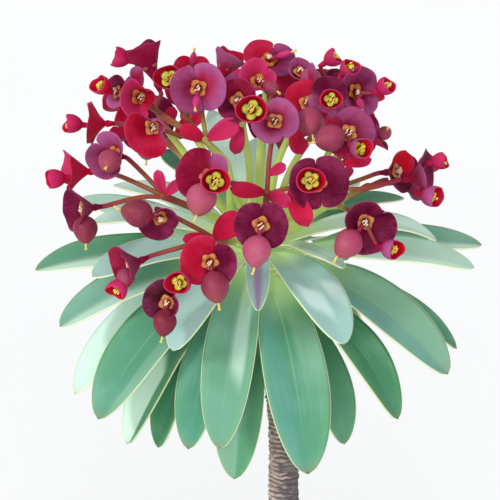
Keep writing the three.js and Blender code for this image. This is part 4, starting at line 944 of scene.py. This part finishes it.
sprays = {
    "left_high": spray(
        (176, 34), 0.45, [(-27, 29, 14), (-37, 42, 18)],
        [("k", (-33, 50, 20), 5)],
        bloom((-43, 66.4, 14), (-0.42, 1, 0.1), "mmdc", 17.5, "funnel", line=(0.3, 0, 1),
              opens=(0, -6), via=[(-40.5, 50, 17)],
              young=[young((-54.5, 69.6, 12), (-0.95, 0.3, 0), "rrcp", 8.2, (-47, 65.4, 12.5))]),
        bloom((-65, 43.4, 6), (-1, 0, 0.12), "cvrd", 12, "bowl", line=(0, 0, 1), opens=(0, 20),
              via=[(-48, 42.5, 11)], young=[young((-73.6, 43.2, 7), (-1, 0.08, 0.2), "rrpr", 8.6)]),
    ),
    "left_top": spray(
        (192, 60), 0.4, [(-14, 28, 22), (-29, 46, 30)],
        [("k", (-31, 37, 34), 5)],
        bloom((-35.2, 61.4, 36), (-0.15, 0.12, 1), "rrpp", 11.6, "cup", via=[(-33.4, 54, 32)]),
        bloom((-26, 65, 17), (0, 0.7, 0.75), "cccc", 9.4, "bowl", turn=6, via=[(-27, 56, 22)],
              capsule=(0.6, 4.2, 4), scale=0.55, girth=0.5),
    ),
    "top_left": spray(
        (220, 34), 0.45, [(-12, 27, 28), (-20.8, 36.8, 38)],
        [("k", (-31, 42, 46), 6), ("p", (-7, 44, 43), 8),
         ("v", (-48.4, 66.6, 32), 5.5, (-47.4, 54.6, 32.6))],
        bloom((-23.4, 57.6, 46), (-0.08, -0.22, 1), "lwvv", 12, turn=14, via=[(-22, 48, 38)],
              capsule=(-0.8, -5.6, 4.6), scale=0.5, girth=0.6),
        bloom((-56, 56, 25), (-0.7, 0.1, 0.6), "mlml", 8.5, "bowl", turn=100,
              via=[(-33, 44, 38), (-44, 51, 28)],
              young=[young((-62, 58.3, 30), (-0.6, 0.35, 0.7), "rrrp", 8.2)]),
        bloom((-47, 54, 36), (0.35, -0.1, 0.9), "pcpc", 14.5, "bowl", turn=196, opens=(-16, -76),
              via=[(-33, 43, 38), (-43, 50, 28)]),
        bloom((-41.6, 42, 50), (0.15, -0.1, 0.95), "clpl", 14.5, "bowl", line=(-0.75, -0.65, 0.05),
              opens=(4, -76), via=[(-32, 39, 40)]),
    ),
    "left_mid": spray(
        (204, 10), 0.28, [(-14, 4, 16), (-37.2, 14.4, 43)],
        [("p", (-40, 25, 48), 4.5), ("p", (-30.5, 20.5, 49), 4.5)],
        bloom((-57.4, 31, 38), (-0.5, 0.1, 0.85), "lwvv4", 13, "bowl", turn=48, opens=(-25, 0),
              capsule=(-1.2, -3, 7.2), scale=0.85),
        bloom((-71.8, 24.4, 20), (-1, 0.05, 0.15), "rprl", 12.5, "bowl", line=(0, -0.6, 0.8),
              opens=(0, -24), via=[(-55, 22.4, 32)],
              young=[young((-80.6, 21.4, 21), (-1, -0.05, 0.25), "rrpr", 9)]),
        bloom((-69.2, 9.4, 34), (-0.8, -0.1, 0.6), "mmwp7", 12.5, "bowl", line=(0.6, 0.1, 0.8),
              opens=(-28, 0), via=[(-46, 14, 40)], capsule=(0.6, -8.4, 3), scale=0.9),
    ),
    "left_low": spray(
        (240, 6), 0.25, [(-10, -4, 30), (-17.6, -2.4, 54)],
        [("k", (-30, -3, 62), 5), ("k", (-5.5, 7, 65), 10)],
        bloom((-38.8, 5.6, 62), (0.2, -0.45, 0.85), "mmww7", 10, turn=58, opens=(-58, -8),
              via=[(-27, 3, 58)], capsule=(-8.8, 2, 2.5)),
        bloom((-50.4, -13.2, 56), (-0.75, -0.35, 0.5), "ddww5", 12, "bowl", line=(0.7, -0.1, 0.6),
              opens=(-28, 0), via=[(-30, -6, 57)], capsule=(-2, -5, 3), scale=0.65,
              young=[young((-55.5, -22.5, 60), (-0.45, -0.7, 0.45), "rrpp", 8.4)]),
        bloom((-18.8, -12, 72), (0, -0.15, 1), "mcmc6", 12.4, turn=-18, opens=(-26, 0),
              via=[(-18, -5, 62)], capsule=(2, -9.6, 3.5),
              young=[young((-31, -20.2, 76), (-0.3, -0.1, 0.95), "rrpp", 10.2, (-27, -16, 66))]),
        bloom((-36, -28.4, 66), (-0.15, -0.1, 0.95), "mxmm8", 10.4, turn=-34, opens=(-72, -4),
              via=[(-24, -12, 58), (-33, -22, 58)], capsule=(-1, -7.6, 2.5), scale=0.85),
    ),
    "front": spray(
        (270, 28), 0.2, [(3, 6, 28), (4, 15.6, 52)],
        [("k", (-11, 17.6, 62), 6.5), ("k", (20.6, 2, 68), 8.5, (13, 17.6, 54)), ("p", (14, 11, 62), 6),
         ("p", (11.5, 27, 53), 4.5, (4.3, 22.6, 49.6))],
        bloom((1.6, 2.8, 80), (0, -0.2, 1), "mmmm1", 11.2, via=[(3, 10, 64)],
              capsule=(-1.6, -10, 3.5)),
        bloom((-19.6, 22, 62), (-0.1, 0.35, 0.95), "ldlc1", 13.4, turn=-12, opens=(-58, 0),
              via=[(-9, 19.5, 52)], capsule=(-2.6, -9, 5.6), scale=1.08,
              young=[young((-16.8, 20.4, 75), (0.1, 0, 1), "rrpp", 11.8, (-17.6, 20, 66))]),
        bloom((24.6, 19.6, 62), (0.1, 0.05, 1), "mmww", 12.6, turn=8, via=[(13, 17.6, 54)],
              young=[young((21.4, 20.6, 75), (0, 0, 1), "rrpp", 11.7, (23, 20, 66))]),
        bloom((7.2, 44.4, 54), (0, 0.1, 1), "lvvv", 10.2, turn=24, via=[(5, 30, 48)],
              young=[young((-2, 48.8, 65), (-0.05, 0.05, 1), "rrpp", 13, (3, 46, 57))]),
    ),
    "top": spray(
        (250, 60), 0.55, [(-3, 26, 14), (-6, 43.6, 24)],
        [("p", (-9, 31, 25), 6)],
        bloom((-12.6, 66, 13), (0.45, 0.9, 0.12), "clpl", 15, "funnel", line=(0.1, 0.3, -0.95),
              opens=(-10, 4), via=[(-11, 54, 16)]),
        bloom((-7.6, 52.6, 42), (-0.2, 0, 1), "dmdm", 10.8, "bowl", turn=85, via=[(-7, 49, 30)]),
        bloom((0.7, 60.1, 29.4), (0.3, 0.2, 0.9), "pppp", 11.5, "bowl", turn=150, opens=(0, -50),
              via=[(-3, 51, 24)], capsule=(4.8, -2.8, 4), scale=0.55),
    ),
    "top_mid": spray(
        (60, 84), 0.5, [(1, 30, 4), (3, 50, 10)],
        [],
        bloom((4.8, 69, 17), (0.14, 0.6, 0.75), "wcwc", 11.4, turn=-18, via=[(3.3, 60, 11)],
              capsule=(6, 1.8, 3), scale=0.55, girth=0.5),
        bloom((10, 59, 6), (0.5, 0.75, -0.4), "cccc", 11, "bowl", turn=60, via=[(6, 54, 8)]),
    ),
    "top_right": spray(
        (308, 60), 0.4, [(8, 27, 22), (14, 41, 30)],
        [("k", (18, 31, 36), 7), ("v", (22, 68, 36), 3.6, (21, 51, 35.6))],
        bloom((17, 64.2, 29), (0.15, 0.45, 0.85), "wvwv3", 7.6, "bowl", turn=60, opens=(0, -30),
              via=[(14, 54, 27)], capsule=(4.6, -3, 4.4), scale=0.75),
        bloom((28.6, 60.4, 12), (0.1, 0.6, 0.5), "mmmm", 9.6, "bowl", turn=10, via=[(22, 52, 20)],
              young=[young((30, 69.4, 15), (0.8, 0.5, 0.3), "rrpp", 7.4)]),
        bloom((20, 51.6, 40), (0, 0.35, 0.9), "cccc4", 10.5, turn=95, via=[(16, 46, 34)],
              capsule=(1.2, -7.8, 6)),
        bloom((28.4, 54, 41.6), (0, 0.1, 1), "mvml", 9, turn=75, via=[(20, 48, 32)],
              young=[young((29.6, 53, 51), (0, 0, 1), "rrpp", 9.2)]),
    ),
    "right_high": spray(
        (2, 60), 0.4, [(24, 24, 8), (34, 43, 16)],
        [("p", (33.4, 63.6, 33), 5, (36.6, 50, 24))],
        bloom((39.4, 56, 32.5), (0.6, 0.05, 0.8), "wvwv", 12.5, "bowl", turn=88, via=[(36.6, 50, 24)],
              capsule=(1.6, -5, 4), scale=0.5, girth=0.65,
              young=[young((51, 58, 36), (0.75, 0.4, 0.55), "rrpp", 7.6)]),
        bloom((36.6, 65.2, 36), (0.5, 0.4, 0.75), "rrpp", 7.8, "cup", via=[(35.6, 58, 24)]),
    ),
    "right_mid": spray(
        (312, 34), 0.4, [(18, 18, 22), (33, 27, 36)],
        [("k", (46, 29, 40), 5)],
        bloom((36.6, 39.6, 54), (0.1, 0.1, 1), "wdwv5", 11.2, turn=34, via=[(34, 33, 42)],
              capsule=(-7.4, -2.2, 4), young=[young((41, 33.4, 66), (0.5, 0, 0.85), "rrvv", 9.2)]),
        bloom((50, 38, 36), (0.9, 0.4, 0.2), "wmwp5", 7, "bowl", turn=80, via=[(43, 33, 37)],
              capsule=(1, 1.6, 4), scale=0.5),
    ),
    "right": spray(
        (346, 34), 0.3, [(18, 11, 12), (31, 17.6, 18)],
        [("p", (38, 26, 12), 4)],
        bloom((56, 24.2, 21), (0.75, 0.05, 0.6), "rmvw", 11, "bowl", turn=76, opens=(-10, 0),
              via=[(42, 21.2, 19.6)]),
        bloom((65, 22, 34), (1, 0.15, 0.2), "wmvw", 13.4, "bowl", line=(0.1, -0.75, 0.65),
              opens=(8, 0), via=[(45, 17.6, 26)],
              young=[young((73, 28.4, 36), (1, 0.2, 0.3), "rrcp", 7.2),
                     young((69.4, 14.4, 44), (0.8, -0.2, 0.55), "rrvl", 9.6, (67, 19, 38))]),
    ),
    "right_low": spray(
        (300, 6), 0.45, [(18, 8, 26), (33, 10.8, 44)],
        [],
        bloom((43.4, 4, 66), (0.05, -0.12, 1), "mmmc3", 13.4, turn=-60, opens=(0, -56),
              via=[(38, 8, 54)], capsule=(-7, -8.4, 4),
              young=[young((53.4, -6.8, 74), (0.7, -0.15, 0.65), "rrvl", 8.8)]),
    ),
    "back_left_high": spray(
        (150, 20), 0.35, [(-20, 20, -8), (-36, 36, -22)],
        [],
        bloom((-51, 53, -30), (-0.6, 0.7, -0.4), "mcvc", 13.5, "bowl", turn=20, via=[(-43, 44, -25)]),
        bloom((-43, 43, -50), (-0.4, 0.4, -0.85), "mmmm", turn=10, via=[(-39, 39, -36)],
              capsule=(-1, -9, -6)),
        bloom((-52, 41, -34), (-0.8, 0.4, -0.4), "rcrc", 12.5, "bowl", turn=80, via=[(-44, 39, -28)]),
    ),
    "back_left": spray(
        (128, 44), 0.45, [(-16, 25, -20), (-27, 41, -36)],
        [("k", (-22, 48, -34), 5)],
        bloom((-25, 57, -52), (-0.1, 0.6, -0.8), "mcmc", 13.5, via=[(-26, 49, -44)],
              capsule=(-1, -7, -8)),
    ),
    "back": spray(
        (84, 56), 0.4, [(2, 30, -26), (2, 42, -42)],
        [],
        bloom((8, 45, -66), (0.05, 0.25, -0.95), "mmmm", via=[(5, 43, -52)], capsule=(1, -8, -6)),
        bloom((-6, 57, -44), (-0.2, 0.8, -0.5), "vcvv", 13, "bowl", turn=10, via=[(-2, 50, -40)],
              young=[young((-8, 61, -56), (-0.1, 0.5, -0.85), "rrpp", 9.5)]),
    ),
    "back_right": spray(
        (50, 36), 0.4, [(14, 26, -24), (23, 40, -42)],
        [("k", (14, 40, -50), 6)],
        bloom((22, 56, -54), (0.1, 0.6, -0.8), "vvvv", 13.5, via=[(22, 48, -46)],
              young=[young((20, 56, -66), (0, 0.3, -0.95), "rrpp", 9.5)]),
        bloom((36, 42, -58), (0.35, 0.3, -0.9), "mcmc", turn=-10, via=[(29, 41, -50)],
              capsule=(1, -9, -6)),
    ),
    "back_right_high": spray(
        (24, 14), 0.35, [(22, 20, -8), (37, 35, -20)],
        [],
        bloom((40.6, 55, -27), (0.4, 0.8, -0.4), "rcrr", 13, "bowl", turn=-20, via=[(40, 46, -22)]),
        bloom((40, 40, -46), (0.4, 0.4, -0.85), "mvmm", 11.5, turn=70, via=[(38, 38, -32)],
              capsule=(-1, -8, -7), scale=0.9),
    ),
    "back_far_right": spray(
        (356, 8), 0.3, [(24, 8, -6), (44, 18, -18)],
        [],
        bloom((60, 21, -24), (0.9, 0.2, -0.35), "mcmv", 12, "bowl", turn=80, via=[(52, 21, -22)],
              young=[young((68, 27, -32), (0.8, 0.2, -0.6), "rrpp", 9)]),
    ),
}


def makeSpray(name, spray, materials):
    dice = random.Random(name)
    skin = Skin()
    green = spray["green"]
    turn, climb = (math.radians(a) for a in spray["root"])
    leaving = polar(math.cos(climb), turn, math.sin(climb))
    start = foot + leaving * (stem["head"] - rayForm["sink"])
    soon = foot + leaving * (stem["head"] + rayForm["straight"])
    way = [start, soon, *map(seen, spray["ray"])]
    fork = way[-1]
    onward = (fork - way[-2]).normalized()
    thick = lambda share: (
        rayForm["radius"] - rayForm["taper"] * share + rayForm["swell"] * smooth(share, 0.93, 1)
    )
    stalk(skin, smoothPath(way, rayForm["spacing"]), thick, 12, asStalk, (green, dice.random(), 0))
    bead(skin, fork, onward, *rayForm["knot"], asStalk, (green, 0.5, 0), (fork - foot).length)
    for bloom in spray["blooms"]:
        makeBloom(skin, bloom, fork - onward * bloomForm["sink"], dice, green)
    for letter, tip, width, *start in spray["bracts"]:
        forkBract(skin, *(start or spray["ray"][-1:]), tip, width, tones[letter])
    skin.build(name + "_blooms", materials, "bloom", name)


def bractLook():
    look = Look("bract", Specular_IOR_Level=0.05)
    (share, around, side), (red, violet, pink) = look.notes()
    cloud = look.noise(120)
    fine = look.noise(1500, 2)
    streak = look.noise(1.7, 4, look.vector(share * 2.2, around * 9, side * 4 + red * 3))
    glow = share.fade(0.1, 0.6) * (1 - side)
    # Violet towards the lobes' edges: partly the lobe's own violet, partly a painted sheen
    veil = (share + (cloud - 0.5) * 0.8).ramp(0.3, 1.0)
    outer = side * (1 - violet * 0.5)
    # A painted sheen: pale pink highlights in blotches, more towards the lobes' edges
    bright = (cloud + streak * 0.5).ramp(0.6, 1.0) * share
    colour = look.mix(
        litDark(98, 12, 56),
        (litDark(212, 26, 50), (red + (cloud - 0.5) * 0.3).ramp(-0.1, 1.1)),
        (litDark(186, 22, 50), glow * (0.25 + red * 0.4)),
        # Painted shade: a lobe whose red is below 0 is darker
        (litDark(58, 4, 22), (0 - red).ramp()),
        (litDark(162, 104, 158), veil * violet * 0.66),
        (litDark(212, 64, 118), pink * (0.35 + share * 0.5)),
        (litDark(180, 44, 96), outer * (0.1 + cloud * 0.4)),
        (litDark(214, 92, 146), bright * 0.25 * (1 - side * 0.5)),
    )
    colour = look.shade(colour, 0.94 + streak * 0.12)
    # Painted shade: darker inside, in the crease where the two lobes meet, near the middle
    crease = abs(around.cosine()).fade(0.0, 0.2) * share.fade(0.25, 0.6) * (1 - side)
    colour = look.shade(colour, 1 - crease * 0.5)
    return look.use(
        Base_Color=look.mix(colour, (litDark(200, 84, 124), share.ramp(0.975, 1.0) * 0.25)),
        Roughness=0.42 + cloud * 0.14 + streak * 0.1,
        Normal=look.bump(streak * 0.25 + fine * 0.1, 0.35, 0.3),
    )


def glandLook():
    look = Look("gland", Coat_Weight=0.2, Coat_Roughness=0.2)
    (share, around, gap), (young, shift, rest) = look.notes()
    cloud = look.noise(700)
    ripe = look.mix(lit(184, 92, 34), (lit(222, 150, 66), (cloud + gap * 0.3).ramp(0.5, 1.05)))
    fresh = look.mix(lit(150, 164, 36), (lit(232, 222, 62), (cloud + gap * 0.35).ramp(0.5, 1.0)))
    edge = look.mix(lit(150, 66, 30), (lit(126, 126, 36), young))
    hole = look.mix(hue(126, 38, 20), (hue(128, 40, 20), young))
    inner = gap.ramp(0.25, 0.8) * (1 - share.ramp(0.9, 1.0) * 0.6)
    plain = look.mix(edge, (look.mix(ripe, (fresh, young)), inner))
    return look.use(
        Base_Color=look.mix(hole, (plain, share.ramp(0.36, 0.52))),
        Roughness=0.32 + cloud * 0.2,
        Normal=look.bump(look.cells(1600) * 0.5 + cloud * 0.5, 0.4, 0.25),
    )


def stamenLook():
    look = Look("stamen", Roughness=0.55)
    young, shift, rest = look.split("lean")
    grain = look.noise(2500, 2)
    colour = look.mix(hue(240, 222, 196), (hue(238, 214, 62), young * (0.7 + shift * 0.3)))
    colour = look.shade(colour, 0.8 + grain * 0.35)
    return look.use(Base_Color=colour, Normal=look.bump(grain, 0.4, 0.15))


def capsuleLook():
    look = Look("capsule", Specular_IOR_Level=0.22)
    (share, around, rest), (dark, second, wide) = look.notes()
    cloud = look.noise(150, 4)
    dust = look.noise(1300)
    colour = look.mix(
        lit(200, 92, 126),
        (lit(122, 34, 62), (dark + (cloud - 0.5) * 0.5).ramp(-0.1, 1.1)),
        (lit(214, 136, 152), (cloud + dust * 0.3 - dark * 0.3).ramp(0.5, 0.95) * 0.45),
        (lit(166, 108, 84), share.ramp(0.5, 1.0) * (0.2 + second * 0.45) * (1 - dark * 0.7)),
        (lit(204, 70, 96), share.fade(0.0, 0.3) * 0.45),
        (lit(214, 70, 128), wide.fade(0.6, 1.0)),  # slim young ones are pink
    )
    seam = abs((around * 1.5).sine()).fade(0.0, 0.05) * 0.6
    return look.use(
        Base_Color=look.shade(colour, 0.88 + dust * 0.22),
        Roughness=0.38 + dust * 0.16,
        Normal=look.bump(dust * 0.12 - seam * 0.15, 0.35, 0.3),
    )


# Green near the umbel's foot, then olive, and red-brown towards the blooms; the green parts get a
# painted glow
def stalkLook():
    look = Look("stalk", Emission_Strength=0.14, Specular_IOR_Level=0.25)
    (out, around, left), (green, shift, held) = look.notes()
    cloud = look.noise(120)
    lines = look.noise(2.0, 3, look.vector(left * 0.05, around * 2.2, shift * 8))
    ripe = ((out * 0.01 - green) * 5 + (cloud - 0.5) * 0.9).ramp()
    far = (out * 0.01 - green - 0.06 + (cloud - 0.5) * 0.15).ramp(0, 0.22)
    colour = look.mix(
        lit(204, 226, 128),
        (lit(166, 122, 78), ripe),
        (lit(168, 76, 74), far * (0.5 + shift * 0.5)),
        (lit(166, 50, 84), left.fade(1, 14) * held * 0.85),
    )
    colour = look.shade(colour, 0.82 + lines * 0.36)
    return look.use(
        Base_Color=colour,
        # Painted glow: the green parts emit their own colour
        Emission_Color=look.shade(colour, 1 - ripe),
        Roughness=0.4 + cloud * 0.2,
        Normal=look.bump(lines, 0.35, 0.3),
    )


def styleLook():
    look = Look("style", Roughness=0.5)
    grain = look.noise(1800, 2)
    colour = look.mix(hue(222, 176, 66), (hue(240, 220, 130), grain))
    return look.use(Base_Color=colour, Normal=look.bump(grain, 0.3, 0.15))


bloomMaterials = [bractLook(), glandLook(), stamenLook(), capsuleLook(), stalkLook(), styleLook()]
for name, spray in sprays.items():
    makeSpray("spray_" + name, spray, bloomMaterials)
print("sprays:", len(sprays))


# Trunk: close uneven leaf scars as real ridges, and the green growing end
def makeTrunk(material):
    path = smoothPath([Vector(p) for p in stem["path"]], stem["step"])
    skin = Skin()

    def spot(centre, across, third, woody, around):
        place = Vector((math.cos(around) * 0.9, math.sin(around) * 0.9, centre.z * 0.11))
        phase = centre.z / stem["pitch"] + (noise.noise(place) * 0.5 + noise.noise(place * 3.3) * 0.3)
        crest = 0.5 + 0.5 * math.cos(2 * math.pi * phase)
        broken = 0.7 + 0.9 * noise.noise(Vector((place.x * 2.6, place.y * 2.6, round(phase) * 1.7)))
        radius = stemRadius(centre.z) + stem["ridge"] * woody * (crest**0.7 * broken - 0.35)
        point = centre + swung(across, third, around) * radius
        return point, (crest * broken, around, centre.z), (woody, 0, 0)

    rings = []
    for i, centre in enumerate(path):
        along = directionAt(path, i)
        across = (toRight - along * along.x).normalized()
        third = along.cross(across)
        woody = 1 - smooth(centre.z, *(foot.z + above for above in stem["greenAbove"]))
        rings.append(skin.circle(stem["sides"], lambda a: spot(centre, across, third, woody, a)))
    low = skin.point(path[0], (0, 0, 0), (1, 0, 0))
    high = skin.point(path[-1] + upright * 0.5, (0, 0, foot.z))
    skin.loft([low, *rings, high])
    skin.build("trunk_bark", [material], "bark", "trunk")


def barkLook():
    look = Look("bark")
    (crest, around, height), (woody, second, third) = look.notes()
    cloud = look.noise(160, 4)
    grain = look.noise(1300)
    ring = look.noise(1.0, 3, look.vector(around * 1.2, height * 1.6, cloud * 0.6))
    # Painted shade: darker on the trunk's right side, away from the key light, and in the grooves, in
    # broken patches
    right = (around + 0.5).cosine()
    weathered = (right * 0.8 + (ring - 0.5) * 2.4 + (0.5 - crest) * 0.8).ramp(-0.1, 0.7)
    wood = look.mix(
        hue(92, 80, 76),
        (hue(166, 146, 134), (crest + (ring - 0.5) * 1.2).ramp(-0.1, 0.75)),
        (hue(214, 196, 180), (ring + cloud * 0.3).ramp(0.62, 0.85) * 0.8),
        (hue(130, 126, 124), look.noise(70).ramp(0.5, 0.7) * 0.5),
        (hue(66, 68, 74), weathered * 0.75),
    )
    wood = look.shade(wood, 0.8 + grain * 0.5)
    fresh = look.mix(hue(150, 186, 84), (hue(196, 208, 132), cloud))
    return look.use(
        Base_Color=look.mix(fresh, (wood, woody)),
        Roughness=0.6 + grain * 0.3,
        Normal=look.bump(grain * 0.6 + cloud * 0.4, 0.6, 0.4),
    )


makeTrunk(barkLook())
print("trunk")

# Pot and soil

pot = {
    "height": 104, "rim": 60, "band": 20, "bandStep": 3, "base": 42, "wall": 4.5, "floor": 6,
    "drain": 4, "drainRing": 22, "drains": 3, "drainSides": 32, "past": 4, "sides": 128, "soil": 92,
}


def potWall():
    bandFoot = pot["height"] - pot["band"]
    wall = lerp(pot["base"], pot["rim"] - pot["bandStep"], bandFoot / pot["height"])
    return bandFoot, wall


# The pot's outline from the middle of its underside round to the middle of its floor
def potOutline():
    bandFoot, wall = potWall()
    base, rim, top, floor = pot["base"], pot["rim"], pot["height"], pot["floor"]
    out = wall + pot["bandStep"]
    inner = lambda radius: radius - pot["wall"]
    return [
        (0, 0), (base * 0.5, 0), (base - 2.0, 0), (base - 0.9, 0.2), (base - 0.2, 0.9), (base, 2.0),
        *[(lerp(base, wall, i / 24), lerp(2.0, bandFoot - 0.4, i / 24)) for i in range(1, 25)],
        (wall + 0.9, bandFoot), (out - 0.8, bandFoot + 0.5),
        *[(lerp(out, rim, i / 8), lerp(bandFoot + 1.4, top - 2, i / 8)) for i in range(9)],
        (rim - 0.25, top - 0.9), (rim - 1.0, top - 0.2), (rim - 2.0, top), (inner(rim) + 1.4, top),
        (inner(rim) + 0.5, top - 0.3), (inner(rim), top - 1.2), (inner(rim) - 0.4, top - 3),
        (inner(wall), bandFoot), (inner(base) + 2, floor + 1), (inner(base), floor), (0, floor),
    ]


def potLook():
    look = Look("terracotta")
    height, around, radius = look.split("where")
    cloud = look.noise(26, 5)
    grain = look.noise(900, 4)
    turning = look.noise(1.1, 3, look.vector(around * 0.35, height * 0.9, 0.0))
    salt = (look.noise(44, 5) + height.fade(0, 26) * 0.14).ramp(0.6, 0.76)
    rimWear = height.ramp(pot["height"] - 2.5, pot["height"]) * look.noise(120)
    damp = (look.noise(18) + (pot["soil"] - height) * 0.002).ramp(0.55, 0.8)
    colour = look.mix(
        hue(176, 98, 66),
        (hue(206, 134, 98), cloud),
        (hue(222, 168, 138), turning.ramp(0.55, 0.8) * 0.35),
        (hue(226, 196, 174), salt * 0.3),
        (hue(224, 176, 148), rimWear * 0.6),
        (hue(142, 76, 52), damp * 0.35),
    )
    pores = look.cells(420).fade(0.02, 0.12)
    return look.use(
        Base_Color=look.shade(colour, 0.86 + grain * 0.28),
        Roughness=0.72 + grain * 0.22,
        Normal=look.bump(grain * 0.5 + turning * 0.8 - pores * 0.5, 0.5, 0.35),
    )


def makePot(material):
    skin = Skin()
    rings = []
    for radius, height in potOutline():
        spotAt = lambda a: (polar(radius, a, height), (height, a, radius), (0, 0, 0))
        rings.append(skin.circle(pot["sides"] if radius else 1, spotAt))
    skin.loft(rings[::-1])
    piece = skin.build("pot_clay", [material], "terracotta", "pot")
    for angle in spokes(pot["drains"]):
        cutHole(piece, pot["drainRing"], angle + math.pi / 6)


# A drain hole, through the floor and a little past it
def cutHole(piece, distance, angle):
    x, y = flat(distance, angle)
    steps = [flat(pot["drain"], a) for a in spokes(pot["drainSides"])]
    rim = [(x + right, y + back) for right, back in steps]
    drill = Skin()
    heights = (-pot["past"], pot["floor"] + pot["past"])
    ends = [drill.plain([Vector((*place, height)) for place in rim]) for height in heights]
    low, high = (drill.point(Vector((x, y, height))) for height in heights)
    drill.loft([low, *ends, high])
    tool = addObject("drill", drill.mesh("drill"))
    cut = piece.modifiers.new("drain", "BOOLEAN")
    cut.operation = "DIFFERENCE"
    cut.solver = "EXACT"
    cut.object = tool
    bpy.context.view_layer.update()
    done = bpy.data.meshes.new_from_object(piece.evaluated_get(bpy.context.evaluated_depsgraph_get()))
    piece.modifiers.clear()
    piece.data = done
    bpy.data.objects.remove(tool)


makePot(potLook())
print("pot")

soil = {
    "grains": 620, "smallest": 0.5, "largest": 2.1, "pale": 0.12, "sides": 96, "rings": 40, "seed": 7,
    "depth": 8, "fit": 0.7, "hole": 0.5, "crown": 1.6, "clear": (2, 2.5), "jagged": 0.82,
}


def soilHeight(x, y):
    radius = math.hypot(x, y)
    crown = pot["soil"] - 0.2 - soil["crown"] * smooth(radius, 12, 55)
    rough = noise.noise(Vector((x, y, 3)) * 0.09) * 0.8 + noise.noise(Vector((x, y, 9)) * 0.4) * 0.45
    rough += noise.noise(Vector((x, y, 5)) * 1.3) * 0.22
    return crown + (rough - 0.7) * smooth(radius, 8, 14)


def soilLook():
    look = Look("soil")
    kind, second, third = look.split("lean")
    cloud = look.noise(90, 4)
    grain = look.noise(1200, 4)
    stone = look.mix(hue(150, 138, 122), (hue(206, 198, 184), second))
    damp = (cloud + grain * 0.4).ramp(0.5, 1.0)
    colour = look.mix(hue(44, 32, 26), (hue(92, 70, 54), damp), (stone, kind))
    colour = look.shade(colour, 0.7 + grain * 0.6)
    return look.use(Base_Color=colour, Roughness=0.8 + grain * 0.18, Normal=look.bump(grain, 0.8, 0.5))


# A lumpy pebble or crumb, half sunk in the surface
def grain(skin, centre, size, lean, dice):
    turn = dice.uniform(0, fullTurn)
    squash = [dice.uniform(0.7, 1.15), dice.uniform(0.7, 1.15), dice.uniform(0.5, 0.8)]
    rings = []
    for i in range(5):
        tilt = math.pi * i / 4
        spots = []
        for angle in spokes(1 if i in (0, 4) else 7):
            around = angle + turn
            reach = size * dice.uniform(soil["jagged"], 1.1)
            point = centre + Vector((
                reach * squash[0] * math.sin(tilt) * math.cos(around),
                reach * squash[1] * math.sin(tilt) * math.sin(around),
                -reach * squash[2] * math.cos(tilt),
            ))
            spots.append((point, (0, 0, 0), lean))
        rings.append(skin.ring(spots))
    skin.loft(rings)


def makeSoil(material):
    bandFoot, wall = potWall()
    inner = lerp(wall, pot["rim"], (pot["soil"] - bandFoot) / pot["band"]) - pot["wall"]
    fit = inner - soil["fit"]
    hole = stem["radius"] + soil["hole"]
    dice = random.Random(soil["seed"])
    skin = Skin()

    def ring(radius, heightAt):
        places = [flat(radius, angle) for angle in spokes(soil["sides"])]
        return skin.plain([Vector((x, y, heightAt(x, y))) for x, y in places])

    radii = [lerp(hole, fit, (i / soil["rings"]) ** 0.9) for i in range(soil["rings"] + 1)]
    rings = [ring(radius, soilHeight) for radius in radii]
    rings += [ring(radius, lambda x, y: pot["soil"] - soil["depth"]) for radius in (fit, hole)]
    skin.loft([*rings, rings[0]])
    for _ in range(soil["grains"]):
        near, far = hole + soil["clear"][0], fit - soil["clear"][1]
        radius = math.sqrt(dice.uniform(near**2, far**2))
        x, y = flat(radius, dice.uniform(0, 2 * math.pi))
        size = lerp(soil["smallest"], soil["largest"], dice.random() ** 3)
        stone = float(dice.random() < soil["pale"])
        centre = Vector((x, y, soilHeight(x, y) + size * 0.1))
        grain(skin, centre, size, (stone, dice.random(), 0), dice)
    skin.build("soil_surface", [material], "soil", "soil")


makeSoil(soilLook())
print("soil")

# Studio: a plain pale floor, and soft lights from the upper left and from beside the viewer

studio = {
    "floor": 6.0, "below": 0.0002, "room": [(0.73, (0.97, 0.985, 1.0)), (0.97, (1, 1, 1))], "away": 2,
    "key": (1.3, 9, (-0.66, -0.66, 0.56)), "front": (1.1, 40, (0.0, -0.95, 0.28)),
}


def makeFloor():
    half = studio["floor"]
    mesh = bpy.data.meshes.new("floor")
    corners = [(-half, -half, 0), (half, -half, 0), (half, half, 0), (-half, half, 0)]
    mesh.from_pydata([Vector(c) - upright * studio["below"] for c in corners], [], [(0, 1, 2, 3)])
    look = Look("floor", Roughness=0.9, Specular_IOR_Level=0.1)
    colour = look.mix(hue(249, 249, 249), (hue(252, 252, 252), look.noise(3, 2)))
    mesh.materials.append(look.use(Base_Color=colour))
    addObject("floor", mesh)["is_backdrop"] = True


def makeSun(name, power, softness, side):
    lamp = bpy.data.lights.new(name, "SUN")
    lamp.energy = power
    lamp.angle = math.radians(softness)
    holder = addObject(name, lamp)
    holder.location = foot * mm + Vector(side) * studio["away"]
    holder.rotation_euler = (foot * mm - holder.location).to_track_quat("-Z", "Y").to_euler()


# The room lights softly, and looks near white where the camera sees past the floor
def makeRoom():
    world = bpy.data.worlds.new("room")
    bpy.context.scene.world = world
    world.use_nodes = True
    nodes, links = world.node_tree.nodes, world.node_tree.links
    ray = nodes.new("ShaderNodeLightPath")
    either = nodes.new("ShaderNodeMixShader")
    links.new(ray.outputs["Is Camera Ray"], either.inputs["Fac"])
    lights = [nodes["Background"], nodes.new("ShaderNodeBackground")]
    for i, (light, (strength, colour)) in enumerate(zip(lights, studio["room"]), 1):
        light.inputs["Color"].default_value = (*colour, 1)
        light.inputs["Strength"].default_value = strength
        links.new(light.outputs["Background"], either.inputs[i])
    links.new(either.outputs["Shader"], nodes["World Output"].inputs["Surface"])


makeFloor()
for name in ("key", "front"):
    makeSun(name, *studio[name])
makeRoom()
bpy.context.scene.view_settings.view_transform = "Standard"
print("studio")

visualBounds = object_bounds()
boxes = {"cad": cadBounds, "visual": visualBounds}
{name: [list(corner) for corner in box] for name, box in boxes.items()}
